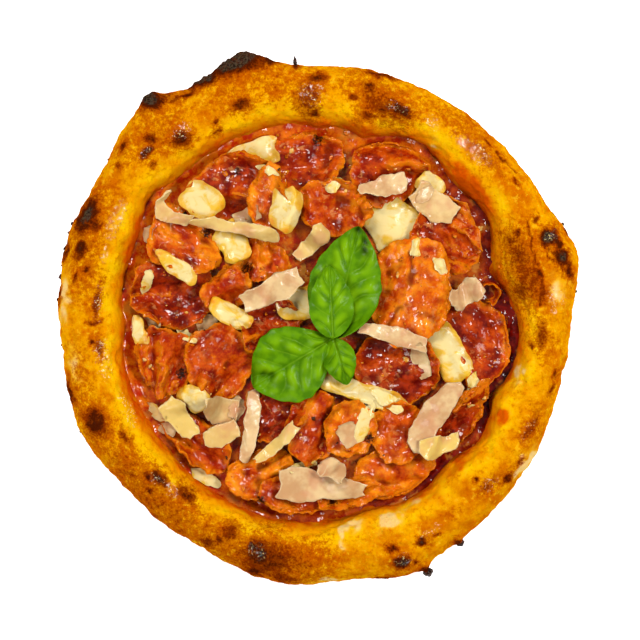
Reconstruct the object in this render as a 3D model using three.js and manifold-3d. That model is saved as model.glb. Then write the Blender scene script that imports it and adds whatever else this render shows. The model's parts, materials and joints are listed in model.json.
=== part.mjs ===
// A salami pizza with a tall, blistered rim: a baked crust with a shallow well, a layer of tomato sauce,
// melted mozzarella, thin crisped salami slices, shaved parmesan and a sprig of basil.
// Millimetres, +Z up. The origin is the middle of the underside, and +Y points up the picture when the pizza
// is seen from above.

import * as THREE from "three";
import { mergeVertices } from "three/addons/utils/BufferGeometryUtils.js";
import Module from "manifold-3d";

const wasm = await Module();
wasm.setup();

// ---------------------------------------------------------------- driving dimensions

const GAP = 0.35; // air between two pieces that touch
const RIM_OUTER_RADIUS = 146;
const RIM_INNER_RADIUS = 115.5;
const RIM_HEIGHT = 26.5;
const BELLY_HEIGHT = 12; // where the rim is widest
const FOOT_INSET = 17; // from the outline in to where the underside touches the table
const BASE_THICKNESS = 4;
const CREST_SHARE = 0.48; // how far out from the inner to the outer edge the rim is highest
const LIP_RISE = 4.5; // from the well's floor up to the foot of the rim's inner slope
const HEM_RISE = 1.2; // from the well's floor up to where the rim's wall starts
const SAUCE_THICKNESS = 2.4;
const SALAMI_THICKNESS = 1.4;
const SHAVING_THICKNESS = 1.0;
const LEAF_THICKNESS = 0.9;

const CRUST_STEPS = 84; // around the rim
const FINE_ANGLES = [102, 106, 124, 126, 128, 130, 291.8, 293.2, 294.6, 301, 302.2, 303.4];
const SAUCE_STEPS = 48;
const DISC_STEPS = 12; // around a piece of mozzarella
const DISC_RINGS = [0.62, 1];

// Where the outline stands out from a circle: degrees from +X, spread in degrees, and how far out.
const OUTLINE_BULGES = [
  { at: 15, spread: 8, out: 8.5 },
  { at: 79, spread: 6, out: 1.5 },
  { at: 109, spread: 11, out: 8 },
  { at: 131, spread: 11, out: 13 },
  { at: 160, spread: 21, out: 7 },
  { at: 178, spread: 7, out: 2 },
  { at: 204, spread: 14, out: 6.5 },
  { at: 230, spread: 10, out: 2 },
  { at: 263, spread: 17, out: 7.5 },
  { at: 289, spread: 8, out: 9 },
  { at: 305, spread: 10, out: 4 },
  { at: 323, spread: 7, out: 1.5 },
  { at: 346, spread: 14, out: -2.5 },
];

// Where the rim's inner edge reaches in over the well, or stands back from it.
const INNER_LOBES = [
  { at: 16, spread: 10, in: 11.5 },
  { at: 45, spread: 9, in: 4 },
  { at: 60, spread: 5, in: -3 },
  { at: 77, spread: 5, in: 7.5 },
  { at: 90, spread: 6, in: 4.5 },
  { at: 145, spread: 6, in: -6 },
  { at: 182, spread: 5, in: 2.5 },
  { at: 255, spread: 20, in: -3 },
  { at: 284, spread: 6, in: 3 },
  { at: 312, spread: 5, in: 5 },
  { at: 336, spread: 6, in: 6.5 },
];

// Where the rim has risen higher or sunk.
const RIM_SWELLS = [
  { at: 14, spread: 14, up: 3.5 },
  { at: 78, spread: 9, up: 2 },
  { at: 108, spread: 12, up: 3 },
  { at: 132, spread: 9, up: 2.5 },
  { at: 157, spread: 10, up: 2.5 },
  { at: 184, spread: 9, up: -1.5 },
  { at: 204, spread: 9, up: 1.5 },
  { at: 232, spread: 11, up: -1.5 },
  { at: 256, spread: 11, up: 2.5 },
  { at: 290, spread: 9, up: 2 },
  { at: 326, spread: 12, up: 2 },
];

// Blisters of the rim. place is the angle round the rim's own section: 0 faces out, 90 up and 180 in.
// width runs along the rim in mm, spread round the section in degrees.
const BLISTERS = [
  { at: 106, place: 22, width: 12, spread: 26, out: 10 },
  { at: 113, place: 26, width: 7, spread: 24, out: 4 },
  { at: 127, place: 14, width: 6.8, spread: 24, out: 7 },
  { at: 293.2, place: 14, width: 3, spread: 11, out: 5 },
  { at: 302.2, place: 10, width: 2.6, spread: 9, out: 4 },
  { at: 18, place: 62, width: 8, spread: 24, out: 3 },
  { at: 12, place: 128, width: 14, spread: 24, out: 2.5 },
  { at: 36, place: 80, width: 13, spread: 30, out: 1.8 },
  { at: 55, place: 96, width: 10, spread: 24, out: 1.6 },
  { at: 69, place: 88, width: 9, spread: 24, out: 2 },
  { at: 79, place: 130, width: 8, spread: 24, out: 2.4 },
  { at: 91, place: 104, width: 10, spread: 28, out: 2.6 },
  { at: 76, place: 28, width: 11, spread: 16, out: 2 },
  { at: 126, place: 84, width: 9, spread: 22, out: 2 },
  { at: 139, place: 62, width: 10, spread: 22, out: 2.4 },
  { at: 155, place: 50, width: 12, spread: 22, out: 2.6 },
  { at: 168, place: 110, width: 15, spread: 24, out: 1.6 },
  { at: 196, place: 108, width: 16, spread: 22, out: 1.5 },
  { at: 205, place: 58, width: 10, spread: 22, out: 2.4 },
  { at: 224, place: 98, width: 9, spread: 22, out: 2 },
  { at: 241, place: 80, width: 12, spread: 26, out: 1.8 },
  { at: 257, place: 76, width: 12, spread: 28, out: 3 },
  { at: 276, place: 120, width: 10, spread: 22, out: 2 },
  { at: 289, place: 60, width: 9, spread: 20, out: 2.6 },
  { at: 300, place: 112, width: 9, spread: 22, out: 1.8 },
  { at: 313, place: 122, width: 10, spread: 24, out: 2.6 },
  { at: 334, place: 128, width: 10, spread: 26, out: 2.4 },
  { at: 349, place: 92, width: 14, spread: 24, out: 1.8 },
];

// The toppings are laid in layers, 1 first. Places are from the middle; turn is the direction of a piece's
// length in degrees.

// Mozzarella: length, width, thickness, and how square it was cut.
const MOZZARELLA = [
  { layer: 1, x: -40, y: 99, long: 31, wide: 20, turn: 5, thick: 7, square: 0.9 },
  { layer: 1, x: 41, y: 57, long: 34, wide: 27, turn: -50, thick: 5.5, square: 0.2 },
  { layer: 1, x: 75, y: -19, long: 38, wide: 19, turn: -60, thick: 5, square: 0.1 },
  { layer: 1, x: -106, y: -6, long: 20, wide: 13, turn: -54, thick: 5, square: 0.2 },
  { layer: 2, x: -12, y: 10, long: 30, wide: 18, turn: 8, thick: 4, square: 0 },
  { layer: 3, x: -69, y: 70, long: 25, wide: 19, turn: -38, thick: 5.5, square: 0.8 },
  { layer: 3, x: -51, y: 44, long: 22, wide: 17, turn: -62, thick: 4, square: 0.4 },
  { layer: 3, x: -21, y: 65, long: 24, wide: 15, turn: 80, thick: 5, square: 0.7 },
  { layer: 3, x: -82, y: 30, long: 27, wide: 8.5, turn: -34, thick: 3, square: 0 },
  { layer: 3, x: -51, y: 2, long: 27, wide: 12, turn: -30, thick: 3.5, square: 0.1 },
  { layer: 3, x: -72, y: -44, long: 17, wide: 14, turn: -35, thick: 4.5, square: 0.1 },
  { layer: 3, x: 65, y: 80, long: 18, wide: 13, turn: -12, thick: 5, square: 0.7 },
  { layer: 3, x: 25, y: -42, long: 60, wide: 13, turn: -18, thick: 3.5, square: 0 },
];

// Salami: length along its folds and width across them when flat, how many folds it has, how steep they
// are, where they start (0 is a valley in the middle, 180 a ridge), and how far its left edge curls up.
const SALAMI = [
  { layer: 1, x: -87, y: 16, long: 56, wide: 54, turn: 4, folds: 1.8, slope: 50, phase: 20, curl: 10 },
  { layer: 1, x: -8, y: 94, long: 48, wide: 42, turn: 4, folds: 1.4, slope: 48, phase: 60, curl: 10 },
  { layer: 1, x: 41, y: 86, long: 50, wide: 48, turn: 3, folds: 1.8, slope: 56, phase: 100, curl: 25 },
  { layer: 1, x: 92, y: -13, long: 58, wide: 50, turn: -66, folds: 2, slope: 56, phase: 40, curl: 10 },
  { layer: 1, x: -91, y: -25, long: 44, wide: 50, turn: 82, folds: 2, slope: 62, phase: 180, curl: 0 },
  { layer: 1, x: -74, y: -72, long: 48, wide: 40, turn: -34, folds: 1.6, slope: 50, phase: 60, curl: 10 },
  { layer: 1, x: -34, y: -91, long: 46, wide: 36, turn: 26, folds: 1.6, slope: 50, phase: 150, curl: 10 },
  { layer: 1, x: 45, y: -88, long: 50, wide: 42, turn: 14, folds: 1.6, slope: 50, phase: 180, curl: 10 },
  { layer: 1, x: -14, y: -103, long: 46, wide: 28, turn: 2, folds: 1.1, slope: 50, phase: 90, curl: 20 },
  { layer: 1, x: -60, y: -25, long: 48, wide: 50, turn: 62, folds: 1.6, slope: 48, phase: 180, curl: 0 },
  { layer: 2, x: -48, y: 77, long: 62, wide: 52, turn: -10, folds: 1.7, slope: 50, phase: 200, curl: 0 },
  { layer: 2, x: 9, y: 65, long: 33, wide: 50, turn: 88, folds: 1.7, slope: 52, phase: 0, curl: 0 },
  { layer: 2, x: 75, y: 49, long: 46, wide: 54, turn: -26, folds: 2, slope: 54, phase: 60, curl: 10 },
  { layer: 2, x: -80, y: 45, long: 52, wide: 48, turn: -36, folds: 2, slope: 58, phase: 60, curl: 0 },
  { layer: 2, x: 44, y: -27, long: 52, wide: 48, turn: -8, folds: 1.6, slope: 50, phase: 180, curl: 10 },
  { layer: 2, x: -27, y: -55, long: 38, wide: 34, turn: 35, folds: 1, slope: 54, phase: 0, curl: 0 },
  { layer: 2, x: 44, y: -65, long: 38, wide: 38, turn: 80, folds: 1.5, slope: 56, phase: 180, curl: 0 },
  { layer: 2, x: 18, y: -102, long: 44, wide: 28, turn: 12, folds: 1.1, slope: 48, phase: 270, curl: 10 },
  { layer: 2, x: -28, y: -3, long: 38, wide: 34, turn: 25, folds: 1, slope: 52, phase: 0, curl: 0 },
  { layer: 2, x: -4, y: -62, long: 44, wide: 40, turn: 70, folds: 1.5, slope: 56, phase: 180, curl: 0 },
  { layer: 3, x: 51, y: 17, long: 64, wide: 54, turn: -97, folds: 1.3, slope: 22, phase: 200, curl: 62 },
  { layer: 3, x: 17, y: -63, long: 36, wide: 34, turn: 55, folds: 1.3, slope: 56, phase: 90, curl: 0 },
  { layer: 3, x: 83, y: -55, long: 50, wide: 34, turn: 52, folds: 1, slope: 52, phase: 0, curl: 20 },
  { layer: 3, x: -30, y: 71, long: 40, wide: 28, turn: 80, folds: 1, slope: 58, phase: 180, curl: 0 },
  { layer: 3, x: -34, y: 35, long: 28, wide: 42, turn: 95, folds: 1.6, slope: 54, phase: 180, curl: 0 },
  { layer: 3, x: -54, y: 18, long: 31, wide: 33, turn: 25, folds: 1.3, slope: 52, phase: 120, curl: 0 },
];

// One slice has rolled itself into an upright tube.
const ROLL = { x: 97, y: 16, radius: 5.4, tall: 11, wrap: 320, opening: 250 };

// Parmesan shavings: how far the length bends to the left at its ends and lifts there, and how it widens.
const PARMESAN = [
  { x: -89, y: 65, long: 32, wide: 8.5, turn: -47, bend: 9, lift: 2, taper: 0.1 },
  { x: -49, y: 53, long: 51, wide: 7, turn: -10, bend: -1, lift: 1, taper: 0.3 },
  { x: -5, y: 44, long: 24, wide: 10, turn: 45, bend: 1, lift: 3, taper: 0.2 },
  { x: -28, y: 17, long: 37, wide: 14, turn: 27, bend: 1, lift: 1, taper: 0.1 },
  { x: 36, y: 77, long: 28, wide: 11, turn: 10, bend: 1, lift: 2, taper: 0.4 },
  { x: 66, y: 67, long: 27, wide: 17, turn: -33, bend: 2, lift: 1, taper: 0 },
  { x: 84, y: 15, long: 20, wide: 13, turn: 35, bend: 0, lift: 4, taper: 0.1 },
  { x: 42, y: -9, long: 40, wide: 9, turn: -15, bend: -1, lift: 1, taper: 0.2 },
  { x: 66, y: -55, long: 46, wide: 15, turn: 57, bend: -3, lift: 2, taper: -0.2 },
  { x: 69, y: -73, long: 24, wide: 14, turn: 5, bend: 2, lift: 2, taper: 0.1 },
  { x: -81, y: -57, long: 26, wide: 13, turn: -48, bend: 0, lift: 2, taper: -0.2 },
  { x: -57, y: -52, long: 19, wide: 15, turn: -10, bend: 1, lift: 1, taper: 0.1 },
  { x: -57, y: -66, long: 21, wide: 12, turn: 20, bend: 1, lift: 1, taper: 0 },
  { x: -40, y: -61, long: 41, wide: 8.5, turn: 82, bend: 1, lift: 1, taper: 0 },
  { x: -25, y: -71, long: 31, wide: 6.5, turn: 42, bend: 2, lift: 2, taper: 0.3 },
  { x: 1, y: -96, long: 49, wide: 16, turn: -5, bend: -1, lift: 1, taper: -0.45 },
  { x: 7, y: -86, long: 16, wide: 11, turn: -20, bend: -2, lift: 2, taper: 0 },
];

// The basil sprig: where its stem stands, and its leaves with the direction that each one points in.
const STEM = { x: 7.5, y: -10.5, radius: 1.7, reach: 1.2 };
const LEAVES = [
  { long: 66, wide: 41, turn: 77, arch: 5, droop: 5, blunt: 0.85, cells: [10, 6] },
  { long: 54, wide: 44, turn: 211, arch: 5, droop: 5, blunt: 1.15, cells: [10, 6] },
  { long: 28, wide: 18, turn: -73, arch: 2.5, droop: 2.5, blunt: 0.85, cells: [7, 4] },
  { long: 42, wide: 25, turn: 93, arch: 3.5, droop: 1, blunt: 0.8, cells: [8, 4] },
];

const MATERIALS = {
  crust: new THREE.MeshStandardMaterial({ color: "#d8922a", roughness: 0.55 }),
  sauce: new THREE.MeshStandardMaterial({ color: "#a81c05", roughness: 0.25 }),
  mozzarella: new THREE.MeshStandardMaterial({ color: "#f3e3b4", roughness: 0.35 }),
  salami: new THREE.MeshStandardMaterial({ color: "#b93a14", roughness: 0.3 }),
  parmesan: new THREE.MeshStandardMaterial({ color: "#e6cf93", roughness: 0.45 }),
  basil: new THREE.MeshStandardMaterial({ color: "#4b9a0c", roughness: 0.4 }),
};

// ---------------------------------------------------------------- small helpers

const rad = THREE.MathUtils.degToRad;
const total = (items, value) => items.reduce((sum, item) => sum + value(item), 0);

// Signed difference of two directions in degrees, from -180 to 180.
const turnBetween = (a, b) => ((((a - b) % 360) + 540) % 360) - 180;

const bell = (away, spread) => Math.exp(-((away / spread) ** 2));

// A point of the plane, given along and across a direction from a place.
function planPoint(place, along, across) {
  const turn = rad(place.turn);
  return new THREE.Vector2(
    place.x + along * Math.cos(turn) - across * Math.sin(turn),
    place.y + along * Math.sin(turn) + across * Math.cos(turn),
  );
}

function solidGeometry(points, faces) {
  const geometry = new THREE.BufferGeometry();
  geometry.setAttribute("position", new THREE.Float32BufferAttribute(points.flatMap((p) => p.toArray()), 3));
  geometry.setIndex(faces.flat());
  geometry.computeVertexNormals();
  return geometry;
}

// ---------------------------------------------------------------- crust and sauce

const outerRadius = (angle) =>
  RIM_OUTER_RADIUS + total(OUTLINE_BULGES, (b) => b.out * bell(turnBetween(angle, b.at), b.spread));

const innerRadius = (angle) =>
  RIM_INNER_RADIUS - total(INNER_LOBES, (b) => b.in * bell(turnBetween(angle, b.at), b.spread));

const crestHeight = (angle) =>
  RIM_HEIGHT + total(RIM_SWELLS, (b) => b.up * bell(turnBetween(angle, b.at), b.spread));

// A quarter of an ellipse from one point to another, without its first point. It leaves the first point
// flat if level is true, and steep if it is false.
function quarterTurn(from, to, steps, level) {
  return Array.from({ length: steps }, (_, k) => {
    const a = (((k + 1) / steps) * Math.PI) / 2;
    const [r, z] = level ? [Math.sin(a), 1 - Math.cos(a)] : [1 - Math.cos(a), Math.sin(a)];
    return new THREE.Vector2(from.x + (to.x - from.x) * r, from.y + (to.y - from.y) * z);
  });
}

// The rim's section at an angle, as (radius, height), from the foot round the outside to the well's floor.
function rimSection(angle) {
  const outer = outerRadius(angle);
  const inner = innerRadius(angle);
  const foot = new THREE.Vector2(outer - FOOT_INSET, 0);
  const belly = new THREE.Vector2(outer, BELLY_HEIGHT);
  const crest = new THREE.Vector2(inner + CREST_SHARE * (outer - inner), crestHeight(angle));
  const lip = new THREE.Vector2(inner, BASE_THICKNESS + LIP_RISE);
  const round = [
    foot,
    ...quarterTurn(foot, belly, 4, true),
    ...quarterTurn(belly, crest, 6, false),
    ...quarterTurn(crest, lip, 6, true),
  ];
  const middle = new THREE.Vector2((outer + inner) / 2, BELLY_HEIGHT);
  const blistered = round.map((point) => blister(point, middle, angle));
  return [
    ...blistered,
    new THREE.Vector2(inner - 0.3, BASE_THICKNESS + HEM_RISE),
    new THREE.Vector2(inner - 2, BASE_THICKNESS),
  ];
}

// Moves a point of the rim's section away from the section's middle by the blisters that reach it.
function blister(point, middle, angle) {
  const arm = point.clone().sub(middle);
  const place = THREE.MathUtils.radToDeg(arm.angle());
  const along = (at) => rad(turnBetween(angle, at)) * RIM_OUTER_RADIUS;
  const push = total(BLISTERS, (b) =>
    b.out * bell(along(b.at), b.width) * bell(turnBetween(place, b.place), b.spread));
  arm.setLength(arm.length() + push);
  return new THREE.Vector2(middle.x + arm.x, Math.max(0, middle.y + arm.y));
}

// A closed solid from a section at each of some angles round the Z axis; each section runs from the
// underside out and back to the top, and both ends are closed to the axis.
function turnedSolid(angles, sections) {
  const steps = sections.length;
  const size = sections[0].length;
  const points = [];
  sections.forEach((section, j) => {
    const a = rad(angles[j]);
    section.forEach((p) => points.push(new THREE.Vector3(p.x * Math.cos(a), p.x * Math.sin(a), p.y)));
  });
  const underside = points.push(new THREE.Vector3(0, 0, sections[0][0].y)) - 1;
  const top = points.push(new THREE.Vector3(0, 0, sections[0][size - 1].y)) - 1;
  const faces = [];
  for (let j = 0; j < steps; j++) {
    const here = j * size;
    const next = ((j + 1) % steps) * size;
    faces.push([underside, next, here], [top, here + size - 1, next + size - 1]);
    for (let k = 0; k < size - 1; k++) {
      faces.push([here + k, next + k, next + k + 1], [here + k, next + k + 1, here + k + 1]);
    }
  }
  return { points, faces };
}

const evenAngles = (steps) => Array.from({ length: steps }, (_, j) => (j * 360) / steps);

// The rim has more sections where small blisters stand out.
function makeCrust() {
  const far = (angle) => FINE_ANGLES.every((fine) => Math.abs(turnBetween(angle, fine)) > 1.2);
  const angles = [...evenAngles(CRUST_STEPS).filter(far), ...FINE_ANGLES].sort((a, b) => a - b);
  return turnedSolid(angles, angles.map(rimSection));
}

// The sauce fills the well's floor in low uneven waves, thinning out towards the rim.
function makeSauce() {
  const low = BASE_THICKNESS + GAP;
  const wave = (x, y) => 0.35 * Math.sin(x / 9 + 1) * Math.cos(y / 11) + 0.25 * Math.sin((x + y) / 7);
  const angles = evenAngles(SAUCE_STEPS);
  const sections = angles.map((angle) => {
    const near = [-6, -3, 0, 3, 6].map((off) => innerRadius(angle + off));
    const edge = Math.min(...near) - 2 - GAP;
    const top = [0.99, 0.9, 0.7, 0.4].map((share) => {
      const [x, y] = [edge * share * Math.cos(rad(angle)), edge * share * Math.sin(rad(angle))];
      const thin = share > 0.95 ? 0.55 : 1;
      return new THREE.Vector2(edge * share, low + SAUCE_THICKNESS * thin + wave(x, y));
    });
    return [new THREE.Vector2(edge, low), ...top];
  });
  return turnedSolid(angles, sections);
}

const RIM_CLEARANCE = 3;
const PRESS = 9; // how gradually a piece is pressed back by the rim

// Presses a point of a topping back from the rim's wall, and up along it.
function keepInWell(point) {
  const away = Math.hypot(point.x, point.y);
  const limit = innerRadius(THREE.MathUtils.radToDeg(Math.atan2(point.y, point.x))) - RIM_CLEARANCE;
  const over = away - (limit - PRESS);
  if (over <= 0) return point;
  const kept = limit - PRESS + PRESS * (1 - Math.exp(-over / PRESS));
  return point.set((point.x * kept) / away, (point.y * kept) / away, point.z + 0.5 * (away - kept));
}

// ---------------------------------------------------------------- thin sheets

// A round grid: a middle point and rings of points, each as (share of the radius, angle in radians).
function discGrid(rings, steps) {
  const spots = [[0, 0]];
  rings.forEach((share) => {
    for (let j = 0; j < steps; j++) spots.push([share, (j / steps) * 2 * Math.PI]);
  });
  const at = (ring, j) => 1 + ring * steps + (j % steps);
  const faces = [];
  for (let j = 0; j < steps; j++) {
    faces.push([0, at(0, j), at(0, j + 1)]);
    for (let k = 0; k < rings.length - 1; k++) {
      faces.push([at(k, j), at(k + 1, j), at(k + 1, j + 1)], [at(k, j), at(k + 1, j + 1), at(k, j + 1)]);
    }
  }
  const edge = Array.from({ length: steps }, (_, j) => at(rings.length - 1, j));
  return { spots, faces, edge };
}

// A long grid from -1 to 1 each way, as (along, across).
function stripGrid(longCells, wideCells) {
  const spots = [];
  for (let i = 0; i <= longCells; i++) {
    for (let j = 0; j <= wideCells; j++) spots.push([(2 * i) / longCells - 1, (2 * j) / wideCells - 1]);
  }
  const at = (i, j) => i * (wideCells + 1) + j;
  const faces = [];
  for (let i = 0; i < longCells; i++) {
    for (let j = 0; j < wideCells; j++) {
      faces.push([at(i, j), at(i + 1, j), at(i + 1, j + 1)], [at(i, j), at(i + 1, j + 1), at(i, j + 1)]);
    }
  }
  const run = (count, index) => Array.from({ length: count }, (_, k) => index(k));
  const edge = [
    ...run(longCells, (k) => at(k, 0)),
    ...run(wideCells, (k) => at(longCells, k)),
    ...run(longCells, (k) => at(longCells - k, wideCells)),
    ...run(wideCells, (k) => at(0, wideCells - k)),
  ];
  return { spots, faces, edge };
}

// Gives a sheet of points a thickness, half to each side of it along its normals.
function thicken(grid, points, thickness) {
  const normals = points.map(() => new THREE.Vector3());
  for (const [a, b, c] of grid.faces) {
    const ab = points[b].clone().sub(points[a]);
    const normal = ab.cross(points[c].clone().sub(points[a]));
    [a, b, c].forEach((i) => normals[i].add(normal));
  }
  const shift = (side) => points.map((p, i) =>
    p.clone().addScaledVector(normals[i].clone().normalize(), (side * thickness) / 2));
  return { grid, upper: shift(1), lower: shift(-1) };
}

// Closes a sheet's two faces along its edge.
function closeSheet({ grid, upper, lower }) {
  const n = upper.length;
  const sides = grid.edge.flatMap((i, k) => {
    const j = grid.edge[(k + 1) % grid.edge.length];
    return [[i, n + i, n + j], [i, n + j, j]];
  });
  const under = grid.faces.map(([a, b, c]) => [n + a, n + c, n + b]);
  return { points: [...upper, ...lower], faces: [...grid.faces, ...under, ...sides] };
}

// ---------------------------------------------------------------- laying pieces on each other

// The height of what is already on the pizza, on a square grid of cells.
const CELL = 0.6;
const HALF_CELLS = 290;
const ROW = 2 * HALF_CELLS + 1;
const heights = new Float32Array(ROW * ROW);
const cellOf = (x) => Math.min(ROW - 1, Math.max(0, Math.round(x / CELL) + HALF_CELLS));

// Calls visit(x, y, z, weights) all over a triangle, at points closer together than a cell.
function sampleTriangle([a, b, c], visit) {
  const longest = Math.max(a.distanceTo(b), b.distanceTo(c), c.distanceTo(a));
  const steps = Math.max(1, Math.ceil(longest / (0.75 * CELL)));
  for (let i = 0; i <= steps; i++) {
    for (let j = 0; j <= steps - i; j++) {
      const [u, v] = [i / steps, j / steps];
      const w = 1 - u - v;
      visit(a.x * w + b.x * u + c.x * v, a.y * w + b.y * u + c.y * v, a.z * w + b.z * u + c.z * v, [w, u, v]);
    }
  }
}

// Adds a solid to the heights, one cell wider than it is, so that what comes next keeps clear of its sides.
function addToHeights({ points, faces }) {
  for (const face of faces) {
    sampleTriangle(face.map((i) => points[i]), (x, y, z) => {
      const [column, row] = [cellOf(x), cellOf(y)];
      for (let dy = -1; dy <= 1; dy++) {
        for (let dx = -1; dx <= 1; dx++) {
          const cell = (row + dy) * ROW + column + dx;
          if (heights[cell] < z) heights[cell] = z;
        }
      }
    });
  }
}

const heightAt = (x, y) => heights[cellOf(y) * ROW + cellOf(x)];

const LAYING_ROUNDS = 60;

// Lays a sheet on what is there: it starts at a level between the lowest (0) and highest (1) of what is
// under it, and each part that would cut in is lifted clear, taking its neighbours along by stiffness.
function lay(sheet, level, stiffness) {
  const solid = closeSheet(sheet);
  const count = sheet.upper.length;
  const under = sheet.lower.map((p) => heightAt(p.x, p.y)).sort((a, b) => a - b);
  const start = under[Math.floor(level * (count - 1))] + GAP - Math.min(...sheet.lower.map((p) => p.z));
  const lifts = new Float64Array(count).fill(start);
  const base = solid.points.map((p) => p.z);
  const near = sheet.upper.map(() => new Set());
  for (const face of sheet.grid.faces) face.forEach((i) => face.forEach((j) => near[i].add(j)));
  for (let round = 0; round < LAYING_ROUNDS; round++) {
    solid.points.forEach((p, i) => { p.z = base[i] + lifts[i % count]; });
    const needed = missingHeights(solid, count);
    needed.forEach((height, i) => { lifts[i] += height; });
    const extra = lifts.map((lift) => lift - start);
    near.forEach((others, i) => {
      const mean = total([...others], (j) => extra[j]) / others.size;
      lifts[i] = Math.max(lifts[i], start + stiffness * mean);
    });
  }
  solid.points.forEach((p, i) => { p.z = base[i] + lifts[i % count]; });
  addToHeights(solid);
  return solid;
}

// How far each point of a sheet has to rise before all of the sheet is clear of what it lies on.
function missingHeights({ points, faces }, count) {
  const needed = new Float64Array(count);
  for (const face of faces) {
    sampleTriangle(face.map((i) => points[i]), (x, y, z, weights) => {
      const missing = heightAt(x, y) + GAP - z;
      if (missing <= 0) return;
      const share = total(weights, (w) => w * w);
      face.forEach((i, k) => {
        needed[i % count] = Math.max(needed[i % count], (missing * weights[k]) / share);
      });
    });
  }
  return needed;
}

// ---------------------------------------------------------------- cheese

const disc = discGrid(DISC_RINGS, DISC_STEPS);

// A soft lump: rounder or squarer in plan, flat below and domed above, with a slightly uneven outline.
function mozzarellaSheet(piece) {
  const power = 2 + 3 * piece.square;
  const points = disc.spots.map(([share, angle]) => {
    const [c, s] = [Math.cos(angle), Math.sin(angle)];
    const round = (Math.abs(c) ** power + Math.abs(s) ** power) ** (-1 / power);
    const uneven = 1 + 0.07 * Math.sin(3 * angle + piece.x) + 0.05 * Math.sin(5 * angle + piece.y);
    const reach = share * round * uneven;
    const p = planPoint(piece, (reach * c * piece.long) / 2, (reach * s * piece.wide) / 2);
    return keepInWell(new THREE.Vector3(p.x, p.y, 0));
  });
  const top = disc.spots.map(([share, angle]) =>
    piece.thick * (0.35 + 0.65 * Math.sqrt(1 - share ** 4)) * (1 + 0.1 * Math.sin(2 * angle + piece.x)));
  return {
    grid: disc,
    upper: points.map((p, i) => new THREE.Vector3(p.x, p.y, p.z + top[i])),
    lower: points,
  };
}

const shavingGrid = stripGrid(6, 2);

// A thin shaving with torn, uneven sides, bent sideways, lifted at its ends and a little arched across.
function shavingSheet(piece) {
  const points = shavingGrid.spots.map(([s, t]) => {
    const torn = 1 + 0.12 * Math.sin(5 * s + 3 * t + piece.x) + 0.08 * Math.sin(11 * s + piece.y);
    const half = (piece.wide / 2) * torn * (1 + piece.taper * s) * (1 - 0.3 * s ** 6);
    const end = (piece.long / 2) * (1 + 0.06 * Math.sin(2.5 * t + piece.y));
    const p = planPoint(piece, s * end, t * half + piece.bend * (s * s - 0.4));
    return keepInWell(new THREE.Vector3(p.x, p.y, piece.lift * s * s + 0.5 * t * s - 0.4 * t * t));
  });
  return thicken(shavingGrid, points, SHAVING_THICKNESS);
}

// ---------------------------------------------------------------- salami

const FOLD_STEPS = 24;
const sliceGrid = stripGrid(11, 4);

// Follows a folded sheet from its middle out to a distance across its folds, at a share of its length from
// its middle, and returns how far out and how high that is. It isn't stretched: only its slope changes.
function foldedTo(distance, share, slice) {
  let [out, up] = [0, 0];
  for (let k = 0; k < FOLD_STEPS; k++) {
    const u = (distance * (k + 0.5)) / FOLD_STEPS;
    const skew = 0.8 * share * Math.sin(slice.x + slice.y);
    const turns = (2 * Math.PI * slice.folds * u) / slice.wide;
    const even = Math.sin(turns + rad(slice.phase) + skew);
    const odd = Math.sin(0.57 * turns + slice.x - skew);
    const wave = 0.8 * even + 0.4 * odd;
    const fan = 1 + 0.5 * share * Math.cos(slice.x - slice.y);
    const curl = rad(slice.curl) * Math.max(0, (2 * u) / slice.wide) ** 2;
    const slope = rad(slice.slope) * fan * wave + curl;
    out += (Math.cos(slope) * distance) / FOLD_STEPS;
    up += (Math.sin(slope) * distance) / FOLD_STEPS;
  }
  return [out, up];
}

// A thin round slice, folded in waves across its width and crisped up along its edge.
function salamiSheet(slice) {
  const flat = sliceGrid.spots.map(([s, t]) => {
    const place = Math.sin(1.35 * s);
    const chord = Math.sqrt(1 - place * place);
    const reach = Math.hypot(place, chord * t);
    const angle = Math.atan2(place, chord * t);
    const uneven = 1 + 0.04 * Math.sin(2 * angle + slice.x) + 0.03 * Math.sin(5 * angle + slice.y);
    const crisp = 1.1 * reach ** 3 * Math.sin(3 * angle + slice.x + slice.y) + 0.9 * (chord * t) ** 2;
    return { share: -chord * t * uneven, across: (slice.wide / 2) * place * uneven, crisp };
  });
  const folded = flat.map((p) => foldedTo(p.across, p.share, slice));
  const middle = (Math.max(...folded.map((f) => f[0])) + Math.min(...folded.map((f) => f[0]))) / 2;
  const points = flat.map((p, i) => {
    const spot = planPoint(slice, (p.share * slice.long) / 2, folded[i][0] - middle);
    return keepInWell(new THREE.Vector3(spot.x, spot.y, folded[i][1] + p.crisp));
  });
  return thicken(sliceGrid, points, SALAMI_THICKNESS);
}

const rollGrid = stripGrid(12, 1);

function rollSheet(roll) {
  const points = rollGrid.spots.map(([s, t]) => {
    const angle = rad(roll.opening + 180 - (s * roll.wrap) / 2);
    const radius = roll.radius + 0.5 * t + 0.5 * s;
    const lean = 0.25 * t * roll.radius;
    return new THREE.Vector3(
      roll.x + radius * Math.cos(angle) + lean,
      roll.y + radius * Math.sin(angle) - lean,
      (t * roll.tall) / 2,
    );
  });
  return thicken(rollGrid, points, SALAMI_THICKNESS);
}

// ---------------------------------------------------------------- basil

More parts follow.
